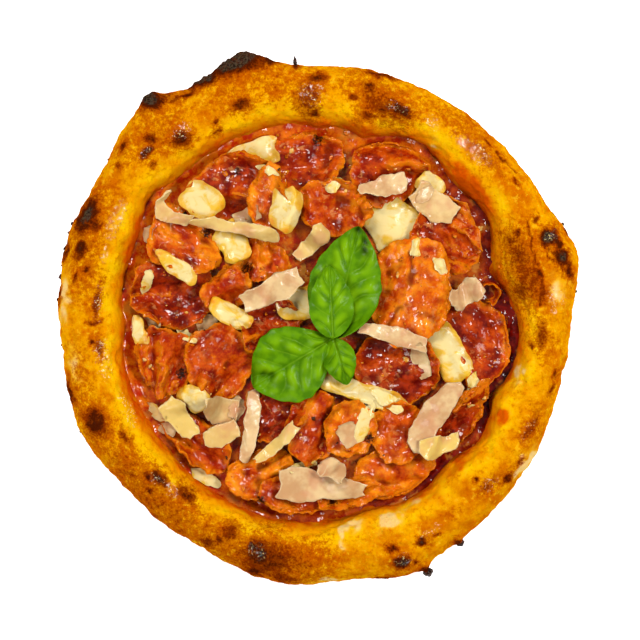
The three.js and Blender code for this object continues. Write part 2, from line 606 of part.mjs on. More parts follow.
// A leaf from its base out along its midrib: arched along its length, its tip bent down, folded up a
// little at the midrib and puffed between the side veins.
function leafSheet(leaf) {
  const grid = stripGrid(...leaf.cells);
  const points = grid.spots.map(([s, t]) => {
    const along = (s + 1) / 2;
    const half = (leaf.wide / 2) * Math.sin(Math.PI * along ** leaf.blunt) ** 0.75 + 0.5;
    const p = planPoint({ ...leaf, x: STEM.x, y: STEM.y }, along * leaf.long, t * half);
    const arch = leaf.arch * Math.sin(Math.PI * along) - leaf.droop * along ** 3;
    const trough = 0.07 * leaf.wide * Math.abs(t) * Math.sin(Math.PI * along) - 0.05 * leaf.wide * t * t;
    const puff = 0.5 * Math.cos(Math.PI * (5 * along - 1.4 * Math.abs(t))) * Math.sin(Math.PI * Math.abs(t));
    return new THREE.Vector3(p.x, p.y, arch + trough + puff * Math.sin(Math.PI * along));
  });
  return thicken(grid, points, LEAF_THICKNESS);
}

function toManifold({ points, faces }) {
  const bare = new THREE.BufferGeometry();
  bare.setAttribute("position", new THREE.Float32BufferAttribute(points.flatMap((p) => p.toArray()), 3));
  bare.setIndex(faces.flat());
  const merged = mergeVertices(bare, 1e-4);
  return new wasm.Manifold(new wasm.Mesh({
    numProp: 3,
    vertProperties: merged.getAttribute("position").array,
    triVerts: new Uint32Array(merged.index.array),
  }));
}

function fromManifold(solid) {
  const { numProp, vertProperties, triVerts } = solid.getMesh();
  const points = [];
  for (let i = 0; i < vertProperties.length; i += numProp) {
    points.push(new THREE.Vector3(vertProperties[i], vertProperties[i + 1], vertProperties[i + 2]));
  }
  const faces = [];
  for (let i = 0; i < triVerts.length; i += 3) faces.push([triVerts[i], triVerts[i + 1], triVerts[i + 2]]);
  return { points, faces };
}

// A short stem from one height to another.
function stemSolid(bottom, top) {
  const stem = new THREE.CylinderGeometry(STEM.radius, 0.8 * STEM.radius, top - bottom, 8)
    .rotateX(Math.PI / 2)
    .translate(STEM.x, STEM.y, (bottom + top) / 2);
  stem.deleteAttribute("normal");
  stem.deleteAttribute("uv");
  const merged = mergeVertices(stem);
  const position = merged.getAttribute("position");
  const index = merged.index.array;
  const points = [];
  for (let i = 0; i < position.count; i++) points.push(new THREE.Vector3().fromBufferAttribute(position, i));
  const faces = [];
  for (let i = 0; i < index.length; i += 3) faces.push([index[i], index[i + 1], index[i + 2]]);
  return { points, faces };
}

// Lays the leaves one on another over the toppings, and joins them with the stem that they grow from.
function makeSprig() {
  let floor = 0;
  for (let dx = -2; dx <= 2; dx++) {
    for (let dy = -2; dy <= 2; dy++) floor = Math.max(floor, heightAt(STEM.x + dx, STEM.y + dy));
  }
  const leaves = LEAVES.map((leaf) => lay(leafSheet(leaf), 0.6, 0.9));
  const nearStem = (p) => Math.hypot(p.x - STEM.x, p.y - STEM.y) < STEM.reach;
  const joints = leaves.flatMap((leaf) => leaf.points.filter(nearStem).map((p) => p.z));
  const stem = stemSolid(floor + GAP, Math.max(...joints) + 0.6);
  return fromManifold([stem, ...leaves].map(toManifold).reduce((all, next) => all.add(next)));
}

// ---------------------------------------------------------------- the whole pizza

const pizza = new THREE.Group();

function addPiece(name, solid, material) {
  const mesh = new THREE.Mesh(solidGeometry(solid.points, solid.faces), material);
  mesh.name = name;
  pizza.add(mesh);
}

// The toppings in the order they are laid in, each with the name it gets from its place in its own list.
function toppings() {
  const named = (list, kind, sheetOf, level, stiffness) => list.map((piece, i) => (
    { piece, kind, sheetOf, level, stiffness, name: `${kind}_${String(i + 1).padStart(2, "0")}` }
  ));
  const all = [
    ...named(SALAMI, "salami", salamiSheet, 0.25, 0.85),
    ...named(MOZZARELLA, "mozzarella", mozzarellaSheet, 0.3, 0.7),
  ];
  return [1, 2, 3].flatMap((layer) => all.filter((one) => one.piece.layer === layer));
}

function addLaid({ piece, kind, sheetOf, level, stiffness, name }) {
  addPiece(name, lay(sheetOf(piece), level, stiffness), MATERIALS[kind]);
}

const crust = makeCrust();
const sauce = makeSauce();
addToHeights(crust);
addToHeights(sauce);
addPiece("crust", crust, MATERIALS.crust);
addPiece("tomato_sauce", sauce, MATERIALS.sauce);
toppings().forEach(addLaid);
addPiece("salami_roll", lay(rollSheet(ROLL), 0.5, 1), MATERIALS.salami);
PARMESAN.forEach((piece, i) => {
  const name = `parmesan_${String(i + 1).padStart(2, "0")}`;
  addPiece(name, lay(shavingSheet(piece), 0.5, 0.85), MATERIALS.parmesan);
});
addPiece("basil_sprig", makeSprig(), MATERIALS.basil);

// The origin goes to the middle of the box round the pizza.
const middle = new THREE.Box3().setFromObject(pizza).getCenter(new THREE.Vector3());
pizza.position.set(-middle.x, -middle.y, 0);

export default pizza;
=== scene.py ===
"""Looks of the salami pizza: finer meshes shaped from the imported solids, with procedural materials.

Lengths are in millimetres up to the point where a mesh is made. Places seen in the photograph are given
from its centre, as degrees from +X and millimetres, or as x and y. The last number that noise and its kin
take is a seed, which only picks another pattern.
"""

import itertools
import json
import math

import bmesh
import bpy
import numpy as np
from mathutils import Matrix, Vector
from mathutils.bvhtree import BVHTree
from mathutils.kdtree import KDTree

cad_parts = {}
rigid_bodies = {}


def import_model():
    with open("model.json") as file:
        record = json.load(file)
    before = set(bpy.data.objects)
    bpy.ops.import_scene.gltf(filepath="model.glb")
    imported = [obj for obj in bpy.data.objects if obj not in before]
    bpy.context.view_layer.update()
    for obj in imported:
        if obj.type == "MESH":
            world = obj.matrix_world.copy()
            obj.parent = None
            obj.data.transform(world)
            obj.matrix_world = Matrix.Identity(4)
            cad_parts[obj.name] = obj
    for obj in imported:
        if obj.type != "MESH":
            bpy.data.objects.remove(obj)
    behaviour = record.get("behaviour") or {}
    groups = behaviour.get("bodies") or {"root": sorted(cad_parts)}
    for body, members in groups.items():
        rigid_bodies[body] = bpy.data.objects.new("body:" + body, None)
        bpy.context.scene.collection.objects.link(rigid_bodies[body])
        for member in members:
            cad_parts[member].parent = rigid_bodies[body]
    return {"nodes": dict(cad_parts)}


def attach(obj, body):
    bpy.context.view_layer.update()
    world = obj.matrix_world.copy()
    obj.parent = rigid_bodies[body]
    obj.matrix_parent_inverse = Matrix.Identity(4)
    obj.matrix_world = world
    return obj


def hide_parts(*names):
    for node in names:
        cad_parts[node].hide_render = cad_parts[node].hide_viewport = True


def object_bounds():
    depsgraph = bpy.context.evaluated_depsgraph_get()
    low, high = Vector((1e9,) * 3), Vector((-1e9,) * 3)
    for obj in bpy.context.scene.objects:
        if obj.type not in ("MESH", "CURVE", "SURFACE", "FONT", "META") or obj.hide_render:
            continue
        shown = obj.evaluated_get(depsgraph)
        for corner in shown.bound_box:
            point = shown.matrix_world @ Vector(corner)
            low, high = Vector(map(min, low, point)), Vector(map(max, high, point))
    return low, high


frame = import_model()
cad_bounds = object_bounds()

MM = 0.001
PHOTO_CENTRE = (0.7, -1.2)  # where the middle of the photograph falls on the pizza
PHOTO_WIDTH = 369.0  # what the photograph spans
LIT_WHITE = 1.6  # how bright the lights make a white surface, where 1 is white in the picture

# ---------- numbers, noise and meshes


def seen(red, green, blue):
    """The shader colour of a surface that looks like this, from 0 to 255, under the lights."""
    share = np.array([red, green, blue]) / 255
    linear = np.where(share <= 0.04045, share / 12.92, ((share + 0.055) / 1.055) ** 2.4)
    return (*(linear / LIT_WHITE), 1.0)


# Large primes and shifts that turn whole numbers into well mixed ones up to the largest.
CELL_PRIMES = np.array([73856093, 19349663, 83492791])
SEED_PRIME = 7919
MIXING = [(13, 1274126177), (16, 60493)]
LARGEST = 0x7FFFFFFF


def hashed(cells, seed):
    """A pseudo-random number from 0 to 1 for each row of whole numbers."""
    mixed = (cells * CELL_PRIMES).sum(axis=-1) + seed * SEED_PRIME
    for shift, prime in MIXING:
        mixed = (mixed ^ (mixed >> shift)) * prime & LARGEST
    return mixed / LARGEST


def noise(points, size, seed=0):
    """Smooth noise from about -1 to 1, with lumps about size across."""
    place = points / size
    cell = np.floor(place).astype(np.int64)
    part = place - cell
    ease = part * part * part * (part * (part * 6 - 15) + 10)
    total = np.zeros(len(points))
    for corner in itertools.product((0, 1), repeat=3):
        weight = np.where(corner, ease, 1 - ease).prod(axis=1)
        away = part - corner
        slope = np.stack([hashed(cell + corner, seed + k) * 2 - 1 for k in range(3)], axis=1)
        total += weight * (slope * away).sum(axis=1)
    return total * 1.5


def rough(points, size, octaves, seed=0):
    """Noise with finer and finer lumps in it."""
    layers = [noise(points, size / 2**k, seed + 10 * k) / 2**k for k in range(octaves)]
    return sum(layers)


def pimples(points, size, seed=0):
    """1 in the middle of scattered round spots about size across, falling to 0 at their edges."""
    place = points / size
    cell = np.floor(place).astype(np.int64)
    nearest = np.full(len(points), 9.0)
    for step in itertools.product((-1, 0, 1), repeat=3):
        near = cell + step
        middle = near + np.stack([hashed(near, seed + k) for k in range(3)], axis=1)
        nearest = np.minimum(nearest, ((place - middle) ** 2).sum(axis=1))
    return np.clip(1 - np.sqrt(nearest) / 0.5, 0, 1)


def creases(points, size, seed=0):
    """-1 in broad hollows, rising to 1 along sharp winding ridges about size apart."""
    field = np.stack([noise(points, size * 1.5, seed + 50 + k) for k in range(3)], axis=1)
    return 1 - 4 * np.abs(noise(points + size * 0.5 * field, size, seed))


def shaken(points, size, amount, seed):
    """Moves points by a smooth random field, so that the two faces of a thin slice move together."""
    field = np.stack([rough(points, size, 2, seed + 40 * k) for k in range(3)], axis=1)
    return points + field * np.asarray(amount)[..., None]


def ramp(value, low, high):
    """0 below low, 1 above high, smooth in between."""
    share = np.clip((value - low) / (high - low), 0, 1)
    return share * share * (3 - 2 * share)


def rotated(x, y, angle):
    """Flat places turned about the middle."""
    cos, sin = math.cos(angle), math.sin(angle)
    return x * cos - y * sin, x * sin + y * cos


def piece(name, points, faces, material, nodes=(), marks=None):
    """A smooth mesh object from millimetre points, with named numbers on its points, riding on the pizza."""
    mesh = bpy.data.meshes.new(name)
    mesh.from_pydata((np.asarray(points) * MM).tolist(), [], faces)
    for mark, values in (marks or {}).items():
        layer = mesh.attributes.new(mark, "FLOAT", "POINT")
        layer.data.foreach_set("value", np.asarray(values, np.float32))
    mesh.shade_smooth()
    mesh.materials.append(material)
    made = bpy.data.objects.new(name, mesh)
    bpy.context.scene.collection.objects.link(made)
    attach(made, "root")
    if nodes:
        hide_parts(*nodes)
    return made


def grid_faces(rows, columns, closed=False):
    """Quads between rows of points; closed joins each row's end to its start."""
    faces = []
    for here in range(0, (rows - 1) * columns, columns):
        for j in range(columns if closed else columns - 1):
            k = (j + 1) % columns
            faces.append((here + j, here + k, here + columns + k, here + columns + j))
    return faces


def closed_faces(rows, columns):
    """Faces of a thin piece: a grid of upper points, the same grid of lower points, and the sides between."""
    count = rows * columns
    top = [tuple(reversed(face)) for face in grid_faces(rows, columns)]
    bottom = [tuple(i + count for i in reversed(face)) for face in top]
    edge = [i * columns for i in range(rows)] + [count - columns + j for j in range(1, columns)]
    edge += [i * columns + columns - 1 for i in range(rows - 2, -1, -1)] + list(range(columns - 2, 0, -1))
    pairs = zip(edge, edge[1:] + edge[:1])
    return top + bottom + [(here, there, there + count, here + count) for here, there in pairs]


def ball(levels):
    """A round mesh of radius 1: points and faces."""
    mesh = bmesh.new()
    bmesh.ops.create_icosphere(mesh, subdivisions=levels, radius=1)
    points = np.array([v.co for v in mesh.verts])
    faces = [tuple(v.index for v in face.verts) for face in mesh.faces]
    mesh.free()
    return points, faces


def nodes_of(kind):
    """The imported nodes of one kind, in order."""
    return sorted(node for node in frame["nodes"] if node.startswith(kind))


def bvh_of(node):
    """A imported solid, ready for casting rays at, in metres."""
    mesh = frame["nodes"][node].data
    return BVHTree.FromPolygons([v.co for v in mesh.vertices], [tuple(p.vertices) for p in mesh.polygons])


def met_below(tree, x, y, start):
    """The height at which a ray that looks down from start first meets a tree, or None."""
    hit = tree.ray_cast(Vector((x * MM, y * MM, start * MM)), Vector((0, 0, -1)))[0]
    return hit.z / MM if hit else None


def outward(angle):
    """The flat direction at an angle."""
    return Vector((math.cos(angle), math.sin(angle), 0))


def upward(height):
    """A place above the middle, in metres."""
    return Vector((0, 0, height * MM))


# ---------- materials

COAT = ("Coat Weight", "Coat Roughness", "Coat Normal")
INSIDE = ("Subsurface Weight", "Subsurface Scale", "Subsurface Radius")


class Paint:
    """A material being put together from shader nodes."""

    def __init__(self, name):
        self.material = bpy.data.materials.new(name)
        self.material.use_nodes = True
        self.tree = self.material.node_tree
        self.shader = self.tree.nodes["Principled BSDF"]
        self.place = self.node("ShaderNodeTexCoord").outputs["Object"]

    def node(self, kind, inputs=None, **settings):
        """A new shader node, with its inputs set or linked."""
        made = self.tree.nodes.new(kind)
        for key, value in settings.items():
            setattr(made, key, value)
        for key, value in (inputs or {}).items():
            self.put(made.inputs[key], value)
        return made

    def put(self, socket, value):
        """Links a socket to another one, or sets it."""
        if isinstance(value, bpy.types.NodeSocket):
            self.tree.links.new(value, socket)
        else:
            socket.default_value = value

    def mark(self, name):
        """The numbers that a mesh carries under a name."""
        return self.node("ShaderNodeAttribute", attribute_name=name).outputs["Fac"]

    def noise(self, size, detail=3.0, roughness=0.6, distortion=0.0):
        """Noise from 0 to 1 with lumps about size mm across."""
        inputs = {"Vector": self.place, "Scale": 1 / (size * MM), "Detail": detail}
        inputs |= {"Roughness": roughness, "Distortion": distortion}
        return self.node("ShaderNodeTexNoise", inputs).outputs["Fac"]

    def math(self, operation, first, second=0.0):
        """Two numbers put together."""
        return self.node("ShaderNodeMath", {0: first, 1: second}, operation=operation).outputs[0]

    def between(self, value, low, high, start=0.0, end=1.0):
        """start where value is below low, end where it is above high, smooth in between."""
        inputs = {"Value": value, "From Min": low, "From Max": high, "To Min": start, "To Max": end}
        return self.node("ShaderNodeMapRange", inputs, interpolation_type="SMOOTHSTEP").outputs["Result"]

    def mix(self, share, first, second):
        """A colour between two colours."""
        made = self.node("ShaderNodeMix", data_type="RGBA")
        for socket, value in ((0, share), (6, first), (7, second)):
            self.put(made.inputs[socket], value)
        return made.outputs[2]

    def layer(self, under, colour, value, low, high, most=1.0):
        """A colour laid over another where value rises from low to high, with a share of most at the end."""
        return self.mix(self.between(value, low, high, 0.0, most), under, colour)

    def bump(self, height, distance, under=None):
        """Relief of a height from 0 to 1 times distance mm, on top of other relief."""
        inputs = {"Height": height, "Distance": distance * MM, "Strength": 1.0}
        if under:
            inputs["Normal"] = under
        return self.node("ShaderNodeBump", inputs).outputs["Normal"]

    def finish(self, colour, roughness, specular, normal=None, coat=(), inside=(), more=()):
        """The material. A coat is its weight, roughness and relief; inside says how light scatters within."""
        inputs = {"Base Color": colour, "Roughness": roughness, "Specular IOR Level": specular}
        if normal:
            inputs["Normal"] = normal
        inputs |= dict(zip(COAT, coat)) | dict(zip(INSIDE, inside)) | dict(more)
        for key, value in inputs.items():
            self.put(self.shader.inputs[key], value)
        return self.material


def crust_material():
    """Dough, yellow inside the rim and golden outside, with flour, stains, browning, char and oil; painted
    glints on its oily places and painted orange shade at the foot of its inner wall.
    """
    paint = Paint("baked_crust")
    grain = paint.noise(1.2, 3.0, 0.65)
    mottle = paint.noise(3.2, 4.0, 0.65)
    patch = paint.noise(12, 4.0, 0.6)
    gold = paint.layer(seen(254, 172, 0), seen(224, 118, 0), patch, 0.36, 0.66)
    yellow = paint.layer(seen(276, 220, 6), seen(260, 172, 0), patch, 0.4, 0.7)
    base = paint.mix(paint.mark("inside"), gold, yellow)
    base = paint.layer(base, seen(208, 96, 0), mottle, 0.5, 0.7, 0.6)
    base = paint.layer(base, seen(266, 206, 30), mottle, 0.46, 0.3, 0.6)
    # painted shade: the shaded foot of the inner wall is painted orange
    base = paint.mix(paint.mark("warm"), base, seen(258, 146, 0))
    flour = paint.mark("flour")
    base = paint.layer(base, seen(268, 202, 40), flour, 0.0, 0.5, 0.7)
    base = paint.layer(base, seen(266, 226, 144), flour, 0.3, 0.85, 0.85)
    base = paint.mix(paint.mark("stain"), base, seen(232, 78, 2))
    brown = paint.mark("brown")
    uneven = paint.math("SUBTRACT", paint.math("ADD", mottle, grain), 1.0)
    patchy = paint.math("MULTIPLY", uneven, paint.between(brown, 0.0, 0.35, 0.35, 1.8))
    toasted = paint.math("ADD", brown, patchy)
    base = paint.layer(base, seen(194, 84, 0), toasted, 0.05, 0.6, 0.75)
    base = paint.layer(base, seen(130, 38, 0), toasted, 0.55, 1.25, 0.85)
    base = paint.layer(base, seen(62, 18, 4), toasted, 1.2, 1.9, 0.85)
    ash = paint.layer(seen(38, 26, 18), seen(88, 70, 52), grain, 0.4, 0.6)
    char = paint.math("ADD", paint.mark("char"), paint.math("MULTIPLY", uneven, 0.4))
    crusty = paint.between(mottle, 0.36, 0.54, 0.55, 1.0)
    base = paint.mix(paint.math("MULTIPLY", paint.between(char, 0.2, 0.9), crusty), base, ash)
    drops = paint.noise(1.6, 1.0)
    wet = paint.between(paint.mark("oil"), 0.1, 0.8)
    # painted glints: pale flecks laid into the colour where the rim is oily
    painted_glints = paint.math("MULTIPLY", wet, paint.between(paint.noise(1.3, 2.0), 0.58, 0.66, 0.0, 0.85))
    base = paint.mix(painted_glints, base, seen(268, 232, 150))
    normal = paint.bump(grain, 0.45, paint.bump(mottle, 0.5))
    oil = paint.math("MULTIPLY", wet, paint.between(drops, 0.44, 0.56))
    coat = (oil, 0.06, paint.bump(drops, 0.35))
    return paint.finish(base, 0.6, 0.0, normal, coat, (0.3, 0.004, (1.0, 0.35, 0.08)))


def sauce_material():
    """Wet tomato pulp with some milky fat in it, darker red partly as painted shade along the rim on its
    shaded side and partly in random patches.
    """
    paint = Paint("tomato_sauce")
    pulp = paint.noise(6, 4.0, 0.65)
    share = paint.between(pulp, 0.36, 0.64)
    thin = paint.mix(share, seen(204, 44, 0), seen(250, 124, 6))
    deep = paint.mix(share, seen(92, 0, 0), seen(162, 20, 0))
    # painted shade: the dark red is mixed in along the rim's shaded side, and in random patches
    colour = paint.mix(paint.mark("deep"), thin, deep)
    fat = paint.math("MULTIPLY", paint.between(paint.noise(10, 3.0, 0.6), 0.55, 0.64), paint.mark("creamy"))
    colour = paint.mix(fat, colour, seen(238, 150, 50))
    coat = (0.6, 0.05, paint.bump(paint.noise(2.6, 1.0), 0.35))
    return paint.finish(colour, 0.5, 0.03, paint.bump(pulp, 1.0), coat)


def salami_material():
    """Baked sausage from orange to dark red, with fat, fried and burnt edges, a greasy shine and painted
    shade in the hollows of its folds.
    """
    paint = Paint("salami")
    fine = paint.noise(1.7, 3.0, 0.65)
    light = paint.between(paint.noise(7, 4.0, 0.65), 0.36, 0.64)
    tone = paint.mark("tone")
    orange = paint.mix(light, seen(238, 100, 0), seen(268, 160, 20))
    red = paint.mix(light, seen(172, 34, 0), seen(232, 94, 6))
    dark = paint.mix(light, seen(104, 6, 0), seen(190, 54, 8))
    colour = paint.layer(orange, red, tone, 0.0, 0.5)
    colour = paint.layer(colour, dark, tone, 0.5, 1.0)
    fat = paint.between(paint.noise(4, 3.0, 0.6, 0.6), 0.54, 0.64)
    colour = paint.mix(paint.math("MULTIPLY", fat, paint.mark("fat")), colour, seen(244, 160, 88))
    # painted shade: dark red in the hollows of the folds
    colour = paint.mix(paint.mark("deep"), colour, seen(112, 10, 0))
    flicker = paint.math("MULTIPLY", paint.math("SUBTRACT", fine, 0.5), 1.6)
    fried = paint.math("ADD", paint.mark("fried"), flicker)
    colour = paint.layer(colour, seen(236, 126, 4), fried, 0.4, 0.9, 0.85)
    colour = paint.layer(colour, seen(142, 46, 0), fried, 1.0, 1.4, 0.8)
    burnt = paint.math("ADD", paint.mark("burnt"), flicker)
    colour = paint.layer(colour, seen(56, 16, 0), burnt, 0.45, 0.95)
    coat = (paint.mark("wet"), 0.1, paint.bump(paint.noise(3.6, 1.0), 0.4))
    return paint.finish(colour, 0.5, 0.03, paint.bump(fine, 0.4), coat, (0.15, 0.002, (1.0, 0.3, 0.1)))


def mozzarella_material():
    """Melted cheese, cream in the middle and yellow with oil at the rim."""
    paint = Paint("mozzarella")
    milk = paint.noise(9, 4.0, 0.6, 1.0)
    colour = paint.layer(seen(262, 234, 158), seen(256, 204, 62), milk, 0.46, 0.66)
    uneven = paint.math("MULTIPLY", paint.math("SUBTRACT", paint.noise(5, 4.0, 0.6), 0.5), 1.6)
    oil = paint.math("ADD", paint.mark("rim"), uneven)
    colour = paint.layer(colour, seen(254, 190, 14), oil, 0.2, 0.7, 0.85)
    colour = paint.layer(colour, seen(244, 146, 4), oil, 0.75, 1.2, 0.8)
    normal = paint.bump(paint.noise(3, 2.0), 0.08)
    return paint.finish(colour, 0.45, 0.1, normal, (0.3, 0.15), (0.3, 0.003, (1.0, 0.9, 0.6)))


def parmesan_material():
    """Hard cheese, pale and slightly see-through, yellow where it took up oil, with a painted highlight along
    its edges.
    """
    paint = Paint("parmesan")
    cloud = paint.between(paint.noise(12, 3.0), 0.36, 0.64)
    colour = paint.mix(cloud, seen(250, 214, 156), seen(224, 172, 118))
    colour = paint.mix(paint.mark("tone"), colour, seen(252, 214, 108))
    colour = paint.layer(colour, seen(228, 152, 110), paint.noise(14, 2.0), 0.5, 0.68, 0.5)
    # painted highlight: lighter along the shavings' thin edges
    colour = paint.layer(colour, seen(254, 234, 186), paint.mark("rim"), 0.3, 1.0, 0.4)
    normal = paint.bump(paint.noise(1.5, 2.0), 0.12)
    return paint.finish(colour, 0.45, 0.06, normal, (0.3, 0.15), (0.3, 0.002, (1.0, 0.8, 0.6)))


def basil_material():
    """Fresh leaf with lighter veins, painted light on its puckers and painted shade in its folds."""
    paint = Paint("basil")
    blotch = paint.noise(7, 3.0, 0.5)
    colour = paint.layer(seen(104, 158, 0), seen(76, 128, 0), blotch, 0.35, 0.65)
    # painted light: the tops of the puckers are lighter
    colour = paint.layer(colour, seen(142, 194, 4), paint.mark("dome"), 0.1, 1.0, 0.8)
    colour = paint.layer(colour, seen(146, 184, 34), paint.mark("vein"), 0.3, 1.0, 0.35)
    # painted shade: dark in the folds and at the curled tip
    colour = paint.mix(paint.mark("dark"), colour, seen(24, 50, 2))
    normal = paint.bump(paint.noise(0.8, 2.0), 0.06)
    return paint.finish(colour, 0.55, 0.03, normal, (0.08, 0.2))


def speck_material(name, dark, light, gloss):
    """What small scattered things are made of."""
    paint = Paint(name)
    colour = paint.layer(dark, light, paint.noise(1.5, 3.0), 0.4, 0.6)
    normal = paint.bump(paint.noise(0.8, 2.0), 0.15)
    return paint.finish(colour, 0.5, 0.03, normal, (gloss, 0.06))


FLOOR_GLOW = 0.6  # keeps the pizza's shadow as faint as in the photograph


def floor_material():
    """Even white."""
    paint = Paint("floor")
    glow = {"Emission Color": (1, 1, 1, 1), "Emission Strength": FLOOR_GLOW}
    return paint.finish((0.99, 0.99, 0.99, 1.0), 0.9, 0.0, more=glow)


# ---------- crust

CRUST_AROUND = 900
CRUST_SECTION = 104
BELLY_HEIGHT = 12.0  # how high the rim's sections have their centres
WALL_HEIGHT = 8.0  # where the rim's inner side is found
FAR = 300.0
SECTION_START, SECTION_END = math.radians(-94), math.radians(203)
BASE_THICKNESS = 4.0
CHARRED = 1.4  # how dark a spot is where its char begins
HALO = 2.0  # how much wider than a spot its light brown surroundings are
HALO_SHADE, TOAST_SHADE, CREASE_SHADE, SIDE_SHADE = 0.42, 0.85, 1.1, 0.55  # how dark these are
YELLOW_ENDS = (5, 19)  # how far from its inner wall the rim turns from yellow to gold
SIDE_ENDS = (6, 15)  # how high the brown of the outer side reaches

# Browned and charred spots: degrees, distance from the middle, half length along the rim, half width across
# it, and how dark. 0.5 is brown, 1 dark brown and over 1.4 char.
SPOTS = [
    (108, 158, 18, 7.5, 2.6), (109, 153.5, 13, 3, 2.2), (116, 154, 9, 4, 2.3), (101, 152, 5, 3, 1.6),
    (106, 151, 22, 3, 1.0), (127.5, 161, 6, 6, 2.5), (126, 156, 8, 3, 1.0), (120.5, 150.5, 3.5, 2, 1.4),
    (123, 152, 3, 1.5, 1.2), (138.5, 151, 3.5, 2, 1.2), (142.5, 146, 2, 2, 0.9), (133, 143, 3, 4, 1.2),
    (136, 138.5, 5, 3, 1.4), (137, 131, 2.5, 2, 1.0), (127.5, 131.5, 6, 4, 1.35),
    (117.5, 128, 2, 1.5, 1.2), (118.5, 123.5, 4, 1.5, 0.9), (110, 132, 6, 3, 1.3), (93, 127, 7, 10, 0.85),
    (91.5, 119, 3, 2, 1.2), (90.5, 139, 5, 2.5, 1.2), (156, 146.5, 10, 5, 2.2), (163.5, 143.5, 5, 3, 1.7),
    (157, 140, 5, 3, 1.2), (168, 137.5, 2, 1.5, 1.0), (170, 142.5, 3.5, 1.3, 1.2),
    (165, 151.5, 6, 1.2, 1.2), (174, 151.5, 7, 1.0, 1.1), (176, 129, 9, 2, 0.95),
    (180.5, 129, 1.5, 4, 1.1), (185.5, 132, 2, 1.5, 1.3), (187, 128, 7, 2, 0.8),
    (204.5, 141.5, 8, 5.5, 1.6), (196, 149.8, 7, 1.5, 1.4), (211, 130.5, 6, 2, 1.0),
    (222, 133.5, 2.5, 1.5, 1.6), (225, 130, 6, 2.5, 1.4), (225, 139, 2, 1.3, 1.3), (225, 127, 6, 2, 0.8),
    (232.5, 126.5, 6, 3.5, 1.15), (245.5, 139, 3, 1.8, 1.4), (243, 143.5, 4, 2.5, 1.1),
    (247, 131.5, 6, 5, 1.0), (257, 141, 15, 11, 0.95), (255.5, 139, 8, 9, 1.3), (256, 138, 3.5, 3.5, 2.2),
    (253.5, 136, 2.5, 2, 2.0), (255.5, 149, 5, 2, 1.4), (262, 150, 9, 2.5, 1.0), (76, 145, 9, 1.8, 1.3),
    (78, 136, 4, 2.8, 1.3), (69, 128.5, 8, 3.5, 1.4), (73.5, 128, 14, 7, 0.85), (81, 129, 3, 1.5, 1.0),
    (77, 120, 6, 2.5, 0.9), (46.5, 140, 3.5, 1.2, 1.1), (41.5, 139.5, 2.5, 1.2, 1.0),
    (35.5, 138, 3.5, 1.2, 1.0), (45, 134, 18, 4, 0.5), (20, 140, 4.5, 5, 2.4),
    (14.5, 143.5, 4.5, 3.5, 2.1), (18, 144, 4, 2, 1.6), (11.5, 146, 6, 2, 1.3), (25, 136.5, 2, 1.8, 1.2),
    (12, 129, 3.5, 2, 1.3), (7, 129.5, 7, 2, 0.9), (14, 121, 22, 8, 0.85), (22.5, 119, 3, 2, 1.1),
    (18, 119, 4, 1.5, 1.2), (8.5, 117, 5, 3, 1.0), (24, 124, 2, 2, 1.1), (20, 152, 4, 1.2, 1.3),
    (356, 127.5, 8, 3, 0.95), (353, 122.5, 1.6, 1.2, 1.0), (347, 138.5, 2.6, 1.2, 1.2),
    (343.5, 139, 3.2, 1.2, 1.2), (333, 136, 10, 3.5, 0.8), (320, 141.5, 3.5, 2, 1.25),
    (324.5, 141, 3, 1.5, 1.0), (314.5, 128.5, 1.4, 1.3, 1.3), (315, 136, 6, 3, 0.75),
    (288.5, 147, 4, 3.5, 1.9), (291.5, 150, 2.2, 1.6, 1.3), (294.5, 140, 3, 2.6, 1.8),
    (287.5, 138, 2.8, 2.2, 1.25), (298.5, 140.5, 1.8, 1.5, 1.0), (282, 154, 10, 1.6, 1.2),
    (293, 157, 4, 2.5, 1.5), (302, 151.5, 3, 2, 1.4), (95.5, 147, 2, 2.5, 1.2),
]

# Broad browned stretches, orange-red stains, pale doughy patches and oily places, in the same form. The oily
# places get a glossy coat and painted glints.
TOASTED = [
    (107, 141, 34, 14, 0.55), (133, 140, 26, 14, 0.6), (163, 139, 38, 10, 0.65), (195, 141, 26, 8, 0.4),
    (226, 140, 46, 13, 0.9), (246, 140, 22, 12, 0.8), (262, 139, 32, 14, 0.8), (78, 137, 26, 11, 0.55),
    (15, 124, 26, 12, 0.35), (352, 132, 22, 7, 0.3), (325, 137, 26, 5, 0.3), (305, 136, 16, 4, 0.2),
    (55, 139, 30, 8, 0.45),
]
STAINS = [
    (42, 117, 20, 5, 1.2), (60, 115, 10, 3, 0.8), (332.5, 118.5, 4.5, 3.4, 1.7), (304, 122, 4, 4, 0.5),
    (313, 116, 8, 2.5, 0.7), (14, 108, 14, 3, 0.5), (155, 118, 24, 3, 0.7), (200, 118, 30, 3, 0.6),
    (92, 112, 12, 4, 0.6), (121, 119, 14, 3, 0.6), (237, 119, 14, 3, 0.5), (78, 113, 10, 5, 0.7),
]
FLOURY = [
    (325, 144.5, 12, 3, 1.0), (289, 122, 7, 5, 1.1), (276, 126, 3, 6, 1.1), (279, 120.5, 7, 3, 1.0),
    (345, 118.5, 7, 3, 0.9), (175, 147, 14, 3, 0.9), (190, 143, 12, 4, 0.45), (296, 118, 8, 3, 0.5),
    (7, 137, 9, 5, 0.55), (272, 151, 10, 2, 0.8), (57, 121, 4, 2.5, 0.6),
]
